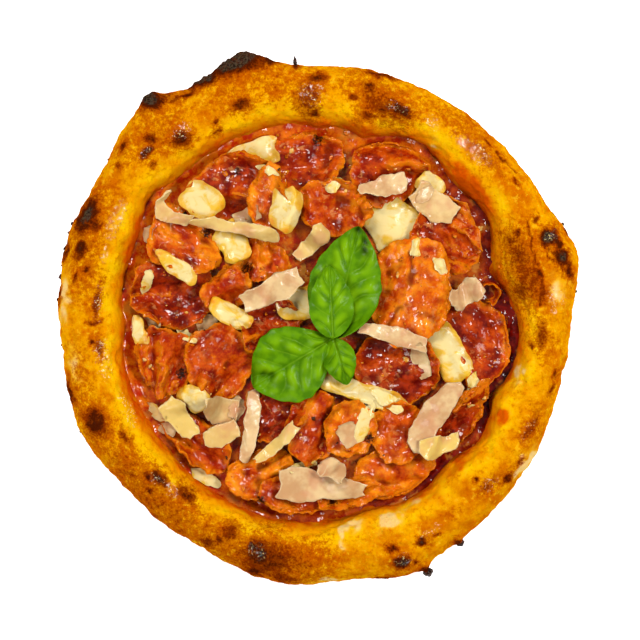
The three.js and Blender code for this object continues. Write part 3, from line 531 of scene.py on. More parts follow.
OILY = [
    (154, 130.5, 12, 4.5, 1.0), (163, 129, 6, 2.5, 0.7), (126, 135, 7, 4, 1.0), (48, 132, 14, 4.5, 1.0),
    (61, 131, 6, 4, 0.8), (70, 130, 8, 4, 0.6), (205, 122.5, 12, 3.5, 0.8), (190, 127, 12, 5, 0.8),
    (228.5, 129.5, 6, 3, 1.0), (224, 131, 4, 3, 0.9), (316, 136, 6, 4, 0.7), (298, 137, 9, 2.5, 0.8),
    (5, 136, 9, 5, 0.7), (92, 130, 8, 8, 0.6), (255, 138, 6, 5, 0.6), (20, 141, 4, 4, 0.7),
    (176, 128, 12, 3, 0.7), (136, 139, 5, 3, 0.6), (289, 146, 5, 4, 0.6), (332, 135, 8, 3, 0.5),
]

# Dark creases in the rim, as pixels of the photograph, and how wide they are.
CREASES = [
    ([(526, 222), (530, 240), (531, 252), (538, 266)], 0.8),
    ([(542, 244), (547, 256), (553, 262)], 0.7),
    ([(540, 274), (541, 290), (539, 305)], 0.9),
    ([(548, 249), (556, 257), (563, 268)], 0.9),
    ([(497, 152), (505, 163), (516, 172)], 0.8),
]
PIXEL = PHOTO_WIDTH / 640


def creased(points):
    """How strongly each point lies in a crease."""
    strongest = np.zeros(len(points))
    for corners, width in CREASES:
        line = (np.array(corners) - 320) * [PIXEL, -PIXEL] + PHOTO_CENTRE
        for start, end in zip(line, line[1:]):
            step = end - start
            share = np.clip((points[:, :2] - start) @ step / (step @ step), 0, 1)
            away = np.linalg.norm(points[:, :2] - start - share[:, None] * step, axis=1)
            strongest = np.maximum(strongest, np.exp(-((away / width) ** 2)))
    return strongest


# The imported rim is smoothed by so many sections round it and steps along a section, but less where it has
# small sharp forms: degrees and spread.
MIDDLE_BLUR = 12
SOFT_BLUR, SHARP_BLUR = (3.0, 1.6), (0.8, 0.6)
SHARP_PLACES = [(104, 4), (126, 4), (293.2, 1.5), (302.2, 1.5)]


def turned(degrees, at):
    """How far degrees lie from a direction, from -180 to 180."""
    return (degrees - at + 180) % 360 - 180


def smoothed(values, around, along=0.0):
    """Blurs a (rim, section) table by Gaussians: around the closed rim, and along the section."""
    rim = np.fft.rfftfreq(values.shape[0])
    fade = np.exp(-2 * (math.pi * rim * around) ** 2)
    blurred = np.fft.irfft(np.fft.rfft(values, axis=0) * fade[:, None], n=values.shape[0], axis=0)
    if not along:
        return blurred
    steps = np.arange(values.shape[1])
    weights = np.exp(-0.5 * ((steps[:, None] - steps[None, :]) / along) ** 2)
    return blurred @ (weights / weights.sum(axis=1, keepdims=True)).T


def spotted(points, spots):
    """How strongly each point of the rim lies in a list of spots."""
    x, y = points[:, 0] - PHOTO_CENTRE[0], points[:, 1] - PHOTO_CENTRE[1]
    angle, away = np.degrees(np.arctan2(y, x)), np.hypot(x, y)
    strongest = np.zeros(len(points))
    for at, distance, length, width, strength in spots:
        along = np.radians(turned(angle, at)) * distance
        share = (along / length) ** 2 + ((away - distance) / width) ** 2
        strongest = np.maximum(strongest, strength * np.exp(-(share**1.4)))
    return strongest


def rim_table():
    """The section centres round the rim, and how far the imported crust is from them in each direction."""
    crust = bvh_of("crust")
    angles = np.arange(CRUST_AROUND) * 2 * math.pi / CRUST_AROUND
    turns = np.linspace(SECTION_START, SECTION_END, CRUST_SECTION)
    outer, inner = np.zeros(CRUST_AROUND), np.zeros(CRUST_AROUND)
    for i, angle in enumerate(angles):
        out = outward(angle)
        outer[i] = FAR - crust.ray_cast(out * FAR * MM + upward(BELLY_HEIGHT), -out)[3] / MM
        inner[i] = crust.ray_cast(upward(WALL_HEIGHT), out)[3] / MM
    middle = smoothed(((outer + inner) / 2)[:, None], MIDDLE_BLUR)[:, 0]
    reach = np.zeros((CRUST_AROUND, CRUST_SECTION))
    for i, angle in enumerate(angles):
        out = outward(angle)
        start = out * middle[i] * MM + upward(BELLY_HEIGHT)
        for j, turn in enumerate(turns):
            way = out * math.cos(turn) + Vector((0, 0, math.sin(turn)))
            reach[i, j] = crust.ray_cast(start, way)[3] / MM
    kept = np.zeros(CRUST_AROUND)
    for at, spread in SHARP_PLACES:
        kept += np.exp(-((turned(np.degrees(angles), at) / spread) ** 2))
    kept = np.clip(kept, 0, 1)[:, None]
    reach = smoothed(reach, *SOFT_BLUR) * (1 - kept) + smoothed(reach, *SHARP_BLUR) * kept
    return angles, turns, middle, inner, reach


def rim_points(angles, turns, middle, reach):
    """Places of a (rim, section) table of distances."""
    away = middle[:, None] + reach * np.cos(turns)[None, :]
    x = away * np.cos(angles)[:, None]
    y = away * np.sin(angles)[:, None]
    z = BELLY_HEIGHT + reach * np.sin(turns)[None, :]
    return np.stack([x, y, np.maximum(z, 0)], axis=-1)


def rim_relief(flat, brown, char, crease, oil):
    """How far each point of the rim stands out: lumps, blisters, pimples, pitted char and creases."""
    relief = 0.9 * noise(flat, 14, 1) + 0.5 * noise(flat, 6, 2) + 0.3 * creases(flat, 8, 18)
    relief += 0.5 * pimples(flat, 4.2, 3) * ramp(noise(flat, 16, 4), -0.3, 0.4)
    relief += 0.6 * pimples(flat, 2.4, 5) * (0.25 + 0.75 * oil) + 0.3 * noise(flat, 2.6, 11)
    relief += char * (0.3 + 0.9 * noise(flat, 3.2, 6) + 1.0 * pimples(flat, 3.4, 17))
    relief += 0.3 * brown * pimples(flat, 3.0, 7) - 1.0 * crease
    return relief * ramp(flat[:, 2], 3, 9)


def closed_rim(points):
    """The rim's points with one more under the pizza and one in its well, and the faces between them all."""
    faces = [tuple(reversed(face)) for face in grid_faces(CRUST_AROUND, CRUST_SECTION)]
    last = (CRUST_AROUND - 1) * CRUST_SECTION
    faces += [(last + j, j, j + 1, last + j + 1) for j in range(CRUST_SECTION - 1)]
    underside, well = len(points), len(points) + 1
    for i in range(CRUST_AROUND):
        here, there = i * CRUST_SECTION, (i + 1) % CRUST_AROUND * CRUST_SECTION
        faces.append((underside, there, here))
        faces.append((well, here + CRUST_SECTION - 1, there + CRUST_SECTION - 1))
    return np.vstack([points, [0, 0, 0], [0, 0, BASE_THICKNESS]]), faces


def make_crust():
    """The baked dough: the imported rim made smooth, with relief and the marks that its paint needs."""
    angles, turns, middle, inner, reach = rim_table()
    flat = rim_points(angles, turns, middle, reach).reshape(-1, 3)
    bent = shaken(flat, 6, 1.6, 12)
    pulled = shaken(flat, 8, 3.2, 22)
    crease = creased(shaken(flat, 5, 1.2, 16))
    spots = spotted(bent, SPOTS)
    char = np.clip(spots - CHARRED, 0, 1)
    around = [(at, away, HALO * long, HALO * wide, min(dark, 1.5)) for at, away, long, wide, dark in SPOTS]
    toasted = spotted(flat, TOASTED)
    light_brown = np.maximum(HALO_SHADE * spotted(pulled, around), TOAST_SHADE * toasted)
    brown = np.clip(np.maximum(spots, CREASE_SHADE * crease) + light_brown, 0, 2)
    oil = np.clip(spotted(bent, OILY) * (0.9 + 0.9 * noise(flat, 4, 13)), 0, 1)
    reach = reach + rim_relief(flat, brown, char, crease, oil).reshape(reach.shape)
    points = rim_points(angles, turns, middle, reach).reshape(-1, 3)
    low, high = (np.array(corner) / MM for corner in cad_bounds)
    points = np.clip(points, low, high)
    height = points[:, 2]
    away = np.hypot(points[:, 0], points[:, 1])
    from_wall = away - np.repeat(inner, CRUST_SECTION)
    inside = (1 - ramp(from_wall, *YELLOW_ENDS)) * ramp(height, 2, 9)
    side = SIDE_SHADE * (1 - ramp(height, *SIDE_ENDS)) * ramp(away, 120, 128)
    foot = (1 - ramp(from_wall + 2.5 * noise(flat, 7, 14), -1, 3.5)) * (0.8 + 0.5 * noise(flat, 12, 15))
    fade = 0.3 + 0.7 * ramp(flat[:, 2], 3, 15)
    marks = {
        "inside": inside * np.clip(1 - toasted, 0, 1),
        # painted shade: orange towards the foot of the inner wall, where shade falls
        "warm": (1 - ramp(from_wall + 3 * noise(flat, 9, 19), 1, 10)) * 0.75,
        "brown": np.clip(brown * fade + side + 0.2 * noise(flat, 18, 8), 0, 2),
        "char": np.clip(1.4 * char * fade, 0, 1),
        "flour": np.clip(spotted(pulled, FLOURY) * (0.9 + 1.1 * noise(flat, 5, 21)), 0, 0.75),
        "stain": np.clip(spotted(bent, STAINS) * (1 + 0.6 * noise(flat, 4, 9)) + foot, 0, 0.9),
        "oil": oil,
    }
    points, faces = closed_rim(points)
    for name, values in marks.items():
        marks[name] = np.append(values, [0.3, 0.3] if name == "brown" else [0, 0])
    return piece("crust_baked", points, faces, crust_material(), ["crust"], marks)


# ---------- sauce

SAUCE_AROUND = 240
SAUCE_RINGS = 60
SAUCE_START = 0.02  # where the first ring lies, as a share of the way out
SAUCE_FOOT = 4.3
SAUCE_LEVEL = 1.9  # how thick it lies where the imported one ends
SAUCE_TUCK = 1.6  # how far the sauce reaches in under the rim's slope
SAUCE_CLIMB = 3.6  # how far it creeps up the dough where it is highest
# painted shade: the sauce along the rim is painted darkest on this side, where the rim shades it
SHADED_SIDE = math.radians(-20)  # where the sauce along the rim is darkest


def sauce_rings():
    """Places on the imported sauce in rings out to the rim's foot, and each one's share of the way there."""
    sauce, crust = bvh_of("tomato_sauce"), bvh_of("crust")
    angles = np.arange(SAUCE_AROUND) * 2 * math.pi / SAUCE_AROUND
    shares = np.linspace(SAUCE_START, 1, SAUCE_RINGS)
    points = []
    for share in shares:
        for angle in angles:
            out = outward(angle)
            edge = crust.ray_cast(upward(WALL_HEIGHT), out)[3] / MM + SAUCE_TUCK
            spot = out * edge * share
            height = met_below(sauce, spot.x, spot.y, 50) or 0
            if height <= SAUCE_FOOT + 1:
                height = SAUCE_FOOT + SAUCE_LEVEL
            points.append((spot.x, spot.y, height))
    return np.array(points), np.repeat(shares, SAUCE_AROUND)


def make_sauce():
    """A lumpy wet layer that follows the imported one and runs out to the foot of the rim."""
    points, share = sauce_rings()
    outside = ramp(np.hypot(points[:, 0], points[:, 1]), 92, 104)
    lit = np.cos(np.arctan2(points[:, 1], points[:, 0]) - SHADED_SIDE)
    climb = ramp(share, 0.9, 1.0) * np.clip(0.55 - 0.45 * lit + 0.8 * noise(points, 16, 23), 0, 1)
    points[:, 2] += SAUCE_CLIMB * climb + (0.6 + 1.0 * outside) * rough(points, 9, 3, 20)
    ragged = 0.7 * noise(points, 3.5, 24) + 0.7 * creases(points, 8, 25)
    points[:, 2] += 0.6 * pimples(points, 6, 21) + outside * ragged
    # painted shade: darkest along the rim on its shaded side, with random darker patches
    deep = np.clip(0.35 + 0.75 * lit * outside + 0.5 * noise(points, 22, 22), 0, 1)
    marks = {"deep": deep, "creamy": 1 - 0.5 * outside}
    faces = [tuple(reversed(face)) for face in grid_faces(SAUCE_RINGS, SAUCE_AROUND, closed=True)]
    rim = (SAUCE_RINGS - 1) * SAUCE_AROUND
    skirt = points[rim:].copy()
    skirt[:, 2] = SAUCE_FOOT
    foot, top, bottom = len(points), len(points) + SAUCE_AROUND, len(points) + SAUCE_AROUND + 1
    points = np.vstack([points, skirt, [0, 0, points[:SAUCE_AROUND, 2].mean()], [0, 0, SAUCE_FOOT]])
    marks = {name: np.append(values, np.full(SAUCE_AROUND + 2, 0.5)) for name, values in marks.items()}
    for j in range(SAUCE_AROUND):
        k = (j + 1) % SAUCE_AROUND
        faces += [(rim + j, foot + j, foot + k, rim + k), (top, j, k), (bottom, foot + k, foot + j)]
    return piece("sauce_wet", points, faces, sauce_material(), ["tomato_sauce"], marks)


# ---------- toppings shaped from their solids

SHARP = math.radians(58)  # how much faces turn at an edge that stays sharp
CORNER = math.radians(32)  # how much an outline turns at a corner that stays sharp
JOINED = {"angle_face_threshold": math.radians(40), "angle_shape_threshold": math.radians(60)}
SUBDIVISIONS = 3
EDGE_SAMPLES = 8


def sharp_edges(mesh):
    """The edges round a thin piece."""
    return [edge for edge in mesh.edges if len(edge.link_faces) == 2 and edge.calc_face_angle(0) > SHARP]


def keep_corners(mesh):
    """Marks a thin piece's sharp edges and the corners of its outline, so that subdividing keeps them."""
    along = mesh.edges.layers.float.new("crease_edge")
    corner = mesh.verts.layers.float.new("crease_vert")
    for edge in sharp_edges(mesh):
        edge[along] = 1.0
    for vert in mesh.verts:
        ways = [edge.other_vert(vert).co - vert.co for edge in vert.link_edges if edge[along] > 0]
        if len(ways) == 2 and math.pi - ways[0].angle(ways[1]) > CORNER:
            vert[corner] = 1.0


def refined(node, corners=False):
    """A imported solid, smoothly subdivided: points in mm, faces, and each point's way to a sharp edge."""
    rough_mesh = bmesh.new()
    rough_mesh.from_mesh(frame["nodes"][node].data)
    bmesh.ops.remove_doubles(rough_mesh, verts=rough_mesh.verts, dist=1e-6)
    if corners:
        keep_corners(rough_mesh)
    samples = []
    for edge in sharp_edges(rough_mesh):
        start, end = (vert.co for vert in edge.verts)
        samples += [start.lerp(end, k / EDGE_SAMPLES) for k in range(EDGE_SAMPLES + 1)]
    bmesh.ops.join_triangles(rough_mesh, faces=rough_mesh.faces, **JOINED)
    mesh = bpy.data.meshes.new("rough")
    rough_mesh.to_mesh(mesh)
    rough_mesh.free()
    holder = bpy.data.objects.new("rough", mesh)
    bpy.context.scene.collection.objects.link(holder)
    holder.modifiers.new("smooth", "SUBSURF").levels = SUBDIVISIONS
    bpy.context.view_layer.update()
    fine = holder.evaluated_get(bpy.context.evaluated_depsgraph_get()).to_mesh()
    points = np.zeros(len(fine.vertices) * 3)
    fine.vertices.foreach_get("co", points)
    points = points.reshape(-1, 3)
    faces = [tuple(p.vertices) for p in fine.polygons]
    tree = KDTree(len(samples))
    for i, sample in enumerate(samples):
        tree.insert(sample, i)
    tree.balance()
    from_edge = np.array([tree.find(p)[2] for p in points]) / MM
    bpy.data.objects.remove(holder)
    bpy.data.meshes.remove(mesh)
    return points / MM, faces, from_edge


# How each slice was baked: 0 is orange and crisp, 0.5 red, and 1 almost black-red.
SALAMI_TONES = {
    1: 0.75, 2: 0.5, 3: 0.6, 4: 0.65, 5: 0.6, 6: 0.5, 7: 0.15, 8: 0.2, 9: 0.55, 10: 0.45, 11: 0.6, 12: 0.4,
    13: 0.7, 14: 0.3, 15: 0.75, 16: 0.95, 17: 0.3, 18: 0.4, 19: 0.95, 20: 0.5, 21: 0.1, 22: 0.15, 23: 0.85,
    24: 0.3, 25: 0.3, 26: 0.4,
}

# Small burnt places on the slices: x, y and how far across.
BURNT = [
    (-48, 86, 4), (-86, 73, 5), (-65, 51, 5), (-42, 30, 5), (-1, 104, 5), (36, 48, 3), (62, -50, 4),
    (-80, -31, 5), (-74, -52, 4), (7, -104, 5), (-34, -104, 4), (97, 28, 2), (28, -68, 4),
]


def make_slice(node, tone, material):
    """A slice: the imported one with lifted, ruffled and fried edges, folds and wrinkles."""
    points, faces, edge = refined(node)
    seed = 100 + int(tone * 100) + int(points[0, 0])
    near = 1 - ramp(edge, 0.5, 5)
    folds = creases(points, 10, seed + 20)
    wrinkles = creases(points, 5, seed + 60)
    wave = noise(points * [1, 1, 0.2], 13, seed)
    lift = 2.4 * np.exp(-((edge / 3.5) ** 2)) * ramp(wave, -0.5, 0.3)
    ruffle = noise(points, 4.5, seed + 3)
    points = shaken(points, 9, 0.9 + 1.1 * near, seed + 30)
    points[:, 2] += lift + (0.45 + 0.4 * near) * (folds - 0.4) + 0.25 * (wrinkles - 0.4) + 1.0 * near * ruffle
    points = shaken(points, 2.6, 0.15 + 0.45 * near, seed + 7)
    burnt = np.zeros(len(points))
    for x, y, across in BURNT:
        away = np.hypot(points[:, 0] - PHOTO_CENTRE[0] - x, points[:, 1] - PHOTO_CENTRE[1] - y)
        burnt += np.exp(-((away / across) ** 2))
    middle = ramp(edge, 1, 7)
    marks = {
        "tone": tone + 0.35 * (middle - 0.6) + 0.4 * noise(points, 9, seed + 9),
        "fried": np.maximum(1.1 - ramp(edge, 0.1, 2.6), 0.75 * ramp(folds, 0.3, 0.9) * (1 - 0.7 * middle)),
        "fat": np.clip(0.2 + 0.8 * noise(points, 16, seed + 11), 0, 0.6),
        # painted shade in the hollows of the folds
        "deep": 0.8 * ramp(-folds, 0.2, 1.4) * middle,
        "wet": np.clip((0.35 + 0.4 * middle) * (0.5 + 1.0 * noise(points, 7, seed + 13)), 0, 1),
        "burnt": np.clip(burnt, 0, 1),
    }
    return piece(f"{node}_crisped", points, faces, material, [node], marks)


def make_salami():
    """All slices, and the one that has rolled itself up."""
    material = salami_material()
    for number, tone in SALAMI_TONES.items():
        make_slice(f"salami_{number:02d}", tone, material)
    make_slice("salami_roll", 0.5, material)


def squared(points, amount):
    """Pushes a lump's rounded outline out into corners; also how far out each point is, 1 at the outline."""
    flat = points[:, :2] - points[:, :2].mean(axis=0)
    axes = np.linalg.eigh(flat.T @ flat)[1]
    local = flat @ axes
    share = local / np.abs(local).max(axis=0)
    away = np.hypot(*share.T) + 1e-9
    boxy = (np.abs(share / away[:, None]) ** 4).sum(axis=1) ** -0.25
    local *= (1 + (boxy - 1) * amount)[:, None]
    moved = points.copy()
    moved[:, :2] += local @ axes.T - flat
    return moved, np.clip(away, 0, 1)


def make_mozzarella(material):
    """The cheese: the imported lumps, flattened, squarer, and running out at the foot."""
    for node in nodes_of("mozzarella"):
        points, faces, _ = refined(node)
        seed = 300 + int(node[-2:])
        points, out = squared(points, 0.7)
        low, high = points[:, 2].min(), points[:, 2].max()
        level = (points[:, 2] - low) / (high - low)
        spread = 0.22 * (1 - level) ** 2 * (1 + noise(points, 8, seed + 2)) - 0.08 * ramp(level, 0.4, 1.0)
        points[:, :2] += (points[:, :2] - points[:, :2].mean(axis=0)) * spread[:, None]
        points[:, 2] = low + (high - low) * (level - 0.6 * ramp(level, 0.2, 1.1))
        points = shaken(points, 16, 1.4, seed)
        points = shaken(points, 6, 0.8 * ramp(out, 0.6, 1.0), seed + 5)
        marks = {"rim": ramp(out + 0.3 * noise(points, 7, seed + 9), 0.55, 1.15)}
        piece(f"{node}_melted", points, faces, material, [node], marks)


# Which shavings have turned yellow with oil, from 0 to 1.
OILY_SHAVINGS = {1: 0.5, 2: 0.6, 3: 0.6, 10: 0.9, 11: 0.8, 13: 0.5, 15: 0.7, 12: 0.3, 6: 0.2}


def make_parmesan(material):
    """The shavings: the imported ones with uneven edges."""
    for node in nodes_of("parmesan"):
        number = int(node[-2:])
        points, faces, edge = refined(node, corners=True)
        points = shaken(points, 7, 0.5 + 0.5 * (1 - ramp(edge, 0, 3)), 400 + number)
        points = shaken(points, 2, 0.35 * (1 - ramp(edge, 0, 2)), 430 + number)
        marks = {"tone": np.full(len(points), OILY_SHAVINGS.get(number, 0.0))}
        # painted highlight along the edges
        marks["rim"] = 1 - ramp(edge, 0.1, 1.2)
        piece(f"{node}_shaved", points, faces, material, [node], marks)


# ---------- basil

STEM = (7.5 + PHOTO_CENTRE[0], -10.5 + PHOTO_CENTRE[1])
STEM_RADIUS = 1.6
LEAF_THICKNESS = 0.7
# The leaves as packed: length, width, direction, how blunt, how many side veins, and whether the height is
# found from above, as the leaf lies over another one. Folds are hollows: place along and across the leaf,
# from 0 to 1 and -1 to 1, and their size along and across. Shade is how dark they are.
LEAVES = {
    "basil_upper": {
        "long": 66, "wide": 41, "turn": 77, "blunt": 0.85, "veins": 5, "above": False,
        "folds": [(0.975, 0.0, 0.035, 0.6), (0.81, -0.5, 0.05, 0.2), (0.88, -0.62, 0.04, 0.2)], "shade": 0.95,
    },
    "basil_left": {
        "long": 54, "wide": 44, "turn": 211, "blunt": 1.15, "veins": 5, "above": False,
        "folds": [(0.77, 0.0, 0.04, 0.1), (0.84, -0.2, 0.06, 0.1)], "shade": 0.5,
    },
    "basil_lower": {
        "long": 28, "wide": 18, "turn": -73, "blunt": 0.85, "veins": 4, "above": False,
        "folds": [], "shade": 0,
    },
    "basil_inner": {
        "long": 42, "wide": 25, "turn": 93, "blunt": 0.8, "veins": 4, "above": True,
        "folds": [], "shade": 0,
    },
}
LEAF_ROWS, LEAF_COLUMNS = 96, 51
SKIN = 0.4  # how far a leaf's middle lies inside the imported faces
SKY = 100.0  # over and under everything, where rays at the sprig start
UNDER = -10.0


def leaf_heights(tree, x, y, along, across, above):
    """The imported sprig's height under a leaf's points, as a smooth surface over along and across."""
    way = Vector((0, 0, -1 if above else 1))
    start = (SKY if above else UNDER) * MM
    hits = [tree.ray_cast(Vector((a * MM, b * MM, start)), way)[0] for a, b in zip(x, y)]
    found = np.array([hit.z / MM if hit else np.nan for hit in hits])
    terms = np.stack([along**i * across**j for i in range(5) for j in range(3)], axis=1)
    good = ~np.isnan(found) & (np.abs(across) < 0.9) & (along > 0.1) & (along < 0.97)
    for _ in range(4):
        fit = np.linalg.lstsq(terms[good], found[good], rcond=None)[0]
        off = np.abs(terms @ fit - found)
        good &= np.nan_to_num(off, nan=9) < max(0.8, 2.0 * np.nanmedian(off[good]))
    height = np.clip(terms @ fit, found[good].min(), found[good].max())
    return height + (-SKIN if above else SKIN)


def make_leaf(name, leaf, tree, material):
    """A leaf: an outline with puckers between its veins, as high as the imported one."""
    s, t = np.meshgrid(np.linspace(0, 1, LEAF_ROWS), np.linspace(-1, 1, LEAF_COLUMNS), indexing="ij")
    s, t = s.ravel(), t.ravel()
    half = leaf["wide"] / 2 * np.maximum(np.sin(math.pi * s ** leaf["blunt"]), 0) ** 0.75 + 0.5
    half *= 1 + 0.02 * np.sin(s * 40) * ramp(s, 0.25, 0.5) * (1 - ramp(s, 0.9, 1))
    out = t * half
    x, y = rotated(s * leaf["long"], out, math.radians(leaf["turn"]))
    x, y = x + STEM[0], y + STEM[1]
    z = leaf_heights(tree, x, y, s, t, leaf["above"])
    spots = np.stack([x, y, np.zeros_like(x)], axis=1)
    fan = leaf["veins"] * (s - 0.3 * np.abs(t) ** 0.8) * 1.05 + 0.35 * noise(spots, 16, 63)
    rib = np.exp(-((out / 0.8) ** 2)) * (1 - 0.5 * s)
    side = np.exp(-(((fan - np.round(fan)) / 0.07) ** 2)) * ramp(np.abs(out), 0.3, 2)
    side = side * (1 - ramp(np.abs(t), 0.6, 0.95))
    inside = ramp(s, 0.03, 0.15) * (1 - ramp(s, 0.85, 0.98)) * (1 - np.abs(t) ** 4)
    dome = np.abs(np.sin(math.pi * fan)) ** 0.8 * np.sin(math.pi * np.clip(np.abs(t), 0, 1)) ** 0.5
    dome = np.clip(dome * (0.7 + 1.2 * noise(spots, 9, 60)), 0, 1.3)
    dark = np.zeros(len(s))
    for at, off, length, width in leaf["folds"]:
        dark = np.maximum(dark, np.exp(-(((s - at) / length) ** 2) - ((t - off) / width) ** 2))
    z = z + inside * (leaf["wide"] / 25 * dome + 0.5 * noise(spots, 6, 61)) - 0.9 * rib - 0.15 * side
    z = z + 1.1 * noise(spots, 13, 62) - 1.4 * dark
    upper = np.stack([x, y, z], axis=1)
    lower = upper - [0, 0, LEAF_THICKNESS]
    # dome carries painted light on the puckers, dark painted shade in the folds
    marks = {"vein": np.maximum(rib, 0.8 * side), "dome": inside * dome, "dark": leaf["shade"] * dark}
    marks = {key: np.concatenate([value, value]) for key, value in marks.items()}
    faces = closed_faces(LEAF_ROWS, LEAF_COLUMNS)
    return piece(name, np.vstack([upper, lower]), faces, material, [], marks)


def make_stem(tree, material):
    """The short stem that the leaves grow from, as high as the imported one."""
    low = tree.ray_cast(Vector((STEM[0] * MM, STEM[1] * MM, 0)), Vector((0, 0, 1)))[0].z / MM
    high = met_below(tree, *STEM, SKY)
    shape, faces = ball(4)
    points = shape * [STEM_RADIUS, STEM_RADIUS, (high - low) / 2]
    points = shaken(points, 2, 0.5, 64) + [*STEM, (low + high) / 2]
    return piece("basil_stem", points, faces, material)


def make_basil():
    """The sprig's leaves and the stem between them."""
    tree = bvh_of("basil_sprig")
    material = basil_material()
    leaves = [make_leaf(name, leaf, tree, material) for name, leaf in LEAVES.items()]
    make_stem(tree, material)
    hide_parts("basil_sprig")


# ---------- small scattered things

# Shavings and bits of cheese under about 1 cm: x, y, length, width and direction.
SMALL_SHAVINGS = [
    (-66, -1, 13, 8, 20), (58, -24, 20, 9, -70), (-88, -63, 10, 7, -20), (-48, -51, 12, 9, 70),
    (17, -66, 12, 15, 30), (-99, 50, 11, 6, 60), (-42, 60, 16, 9, 15), (-96, -2, 10, 7, -60),
    (60, 72, 12, 7, 40),
]
CHEESE_STREAKS = [
    (-77, -9, 14, 6, -30), (26, -58, 26, 9, 70), (-66, -91, 20, 7, -30), (-95, -53, 15, 6, -45),
    (8, 78, 13, 6, 40), (-30, 86, 14, 5, -20), (55, 42, 12, 6, 80), (70, 30, 15, 6, -60),
    (88, -35, 12, 6, 75), (-100, 22, 15, 6, 70), (-10, -84, 16, 6, 20), (38, -46, 22, 8, -35),
]
BIT_ROWS, BIT_COLUMNS = 15, 9


def landing(trees, x, y):
    """The height and the name of what lies uppermost at a place."""
    heights = [(met_below(tree, x, y, 60), name) for name, tree in trees.items()]
    return max((found for found in heights if found[0] is not None), default=(0, ""))


def draped(trees, place, thick, seed, angular):
    """A small thin piece that lies over what is under it: the upper and the lower points of a grid."""
    x, y, long, wide, turn = place
    across = np.linspace(-1, 1, BIT_COLUMNS)
    s, t = np.meshgrid(np.linspace(-1, 1, BIT_ROWS), across, indexing="ij")
    s, t = s.ravel(), t.ravel()
    shape = 1 - 0.3 * s**2 if angular else np.sqrt(1.02 - s**2)
    spots = np.stack([s * long / 2, t * shape * wide / 2, np.full_like(s, seed * 9.0)], axis=1)
    spots = shaken(spots, 5, 1.6, seed)
    flat_x, flat_y = rotated(spots[:, 0], spots[:, 1], math.radians(turn))
    flat_x, flat_y = flat_x + x + PHOTO_CENTRE[0], flat_y + y + PHOTO_CENTRE[1]
    under = np.array([landing(trees, a, b)[0] for a, b in zip(flat_x, flat_y)])
    terms = np.stack([np.ones_like(s), s, t, s * s, t * t], axis=1)
    fit = terms @ np.linalg.lstsq(terms, under, rcond=None)[0]
    height = 0.35 * under + 0.65 * (fit + 0.5)
    upper = np.stack([flat_x, flat_y, height + thick * (0.4 + 0.6 * (1 - t**2) * (1 - s**4))], axis=1)
    lower = np.stack([flat_x, flat_y, height - 0.2], axis=1)
    return upper, lower


def copied(faces, number, size):
    """The faces of the copy with this number, where each copy has size points."""
    return [tuple(i + number * size for i in face) for face in faces]


def joined_sheets(name, places, trees, thick, seed, angular, material):
    """Small thin pieces of one kind as one mesh."""
    points, faces = [], []
    for k, place in enumerate(places):
        points += draped(trees, place, thick, seed + 10 * k, angular)
        faces += copied(closed_faces(BIT_ROWS, BIT_COLUMNS), k, 2 * BIT_ROWS * BIT_COLUMNS)
    return piece(name, np.vstack(points), faces, material)


def scattered(trees, count, reach, seed, avoid):
    """Random places on the toppings, as (x, y, height), away from what is avoided."""
    chance = np.random.default_rng(seed)
    places = []
    while len(places) < count:
        away, angle = reach * math.sqrt(chance.random()), chance.random() * 2 * math.pi
        x, y = away * math.cos(angle), away * math.sin(angle)
        height, name = landing(trees, x, y)
        if not name.startswith(avoid):
            places.append((x, y, height))
    return places


def lumps(name, places, sizes, flat, uneven, seed, material):
    """Small uneven balls, joined into one piece; flat is their height over their width."""
    shape, corners = ball(2)
    chance = np.random.default_rng(seed)
    points, faces = [], []
    for k, place in enumerate(places):
        size = sizes[0] + (sizes[1] - sizes[0]) * chance.random() ** 2
        stretch = np.array([1 + uneven * chance.random(), 1, flat * (1 + 0.3 * chance.random())])
        turn = chance.random() * math.pi
        body = shape * (1 + uneven * noise(shape + k * 5.0, 0.8, seed))[:, None] * stretch * size
        x, y = rotated(body[:, 0], body[:, 1], turn)
        points.append(np.stack([x, y, body[:, 2]], axis=1) + place)
        faces += copied(corners, k, len(shape))
    return piece(name, np.vstack(points), faces, material)


ON_TOP = ("sauce", "salami", "mozzarella", "parmesan", "basil", "crust_baked")

# Charred beads that stand out from the rim, and the burnt spike at its top: degrees and distance, height,
# then half of their length out, along the rim and up.
BEADS = [(293.2, 158.5, 12, 2.6, 3.0, 3.0), (302.2, 152, 12, 2.4, 2.4, 2.6), (95.5, 149.5, 17, 3.6, 1.1, 1.2)]
APART = 20.0  # how far apart they take their noise, so that no two are alike


def make_beads():
    """The charred beads and the spike, as one mesh."""
    shape, corners = ball(4)
    points, faces = [], []
    for k, (at, away, height, out, along, up) in enumerate(BEADS):
        body = shape * [out, along, up]
        body[:, 1:] *= (1 - 0.5 * ramp(shape[:, 0], 0.2, 1.0))[:, None]
        body = shaken(body + k * APART, 1.5, 0.5, 90) - k * APART
        x, y = rotated(away + body[:, 0], body[:, 1], math.radians(at))
        points.append(np.stack([x, y, body[:, 2]], axis=1) + [*PHOTO_CENTRE, height])
        faces += copied(corners, k, len(shape))
    material = speck_material("charred", seen(26, 14, 8), seen(74, 40, 20), 0.3)
    piece("charred_beads", np.vstack(points), faces, material)


# Burnt crumbs that stick to the rim's outer side: degrees and height.
OUTER_CRUMBS = [
    (159, 13), (161, 10), (164.5, 12), (167, 9), (168.5, 13), (171, 11), (176, 12), (178.5, 9), (186, 12),
    (205.5, 11), (270, 6), (272, 7), (281, 9), (305, 8), (6, 13), (21, 14), (24, 13), (143, 12), (74, 11),
]


def outer_crumbs(crust):
    """The burnt crumbs' places on the rim, as (x, y, height)."""
    places = []
    for at, height in OUTER_CRUMBS:
        out = outward(math.radians(at))
        hit = crust.ray_cast(out * FAR * MM + upward(height), -out)[0]
        places.append(tuple(hit / MM))
    return places


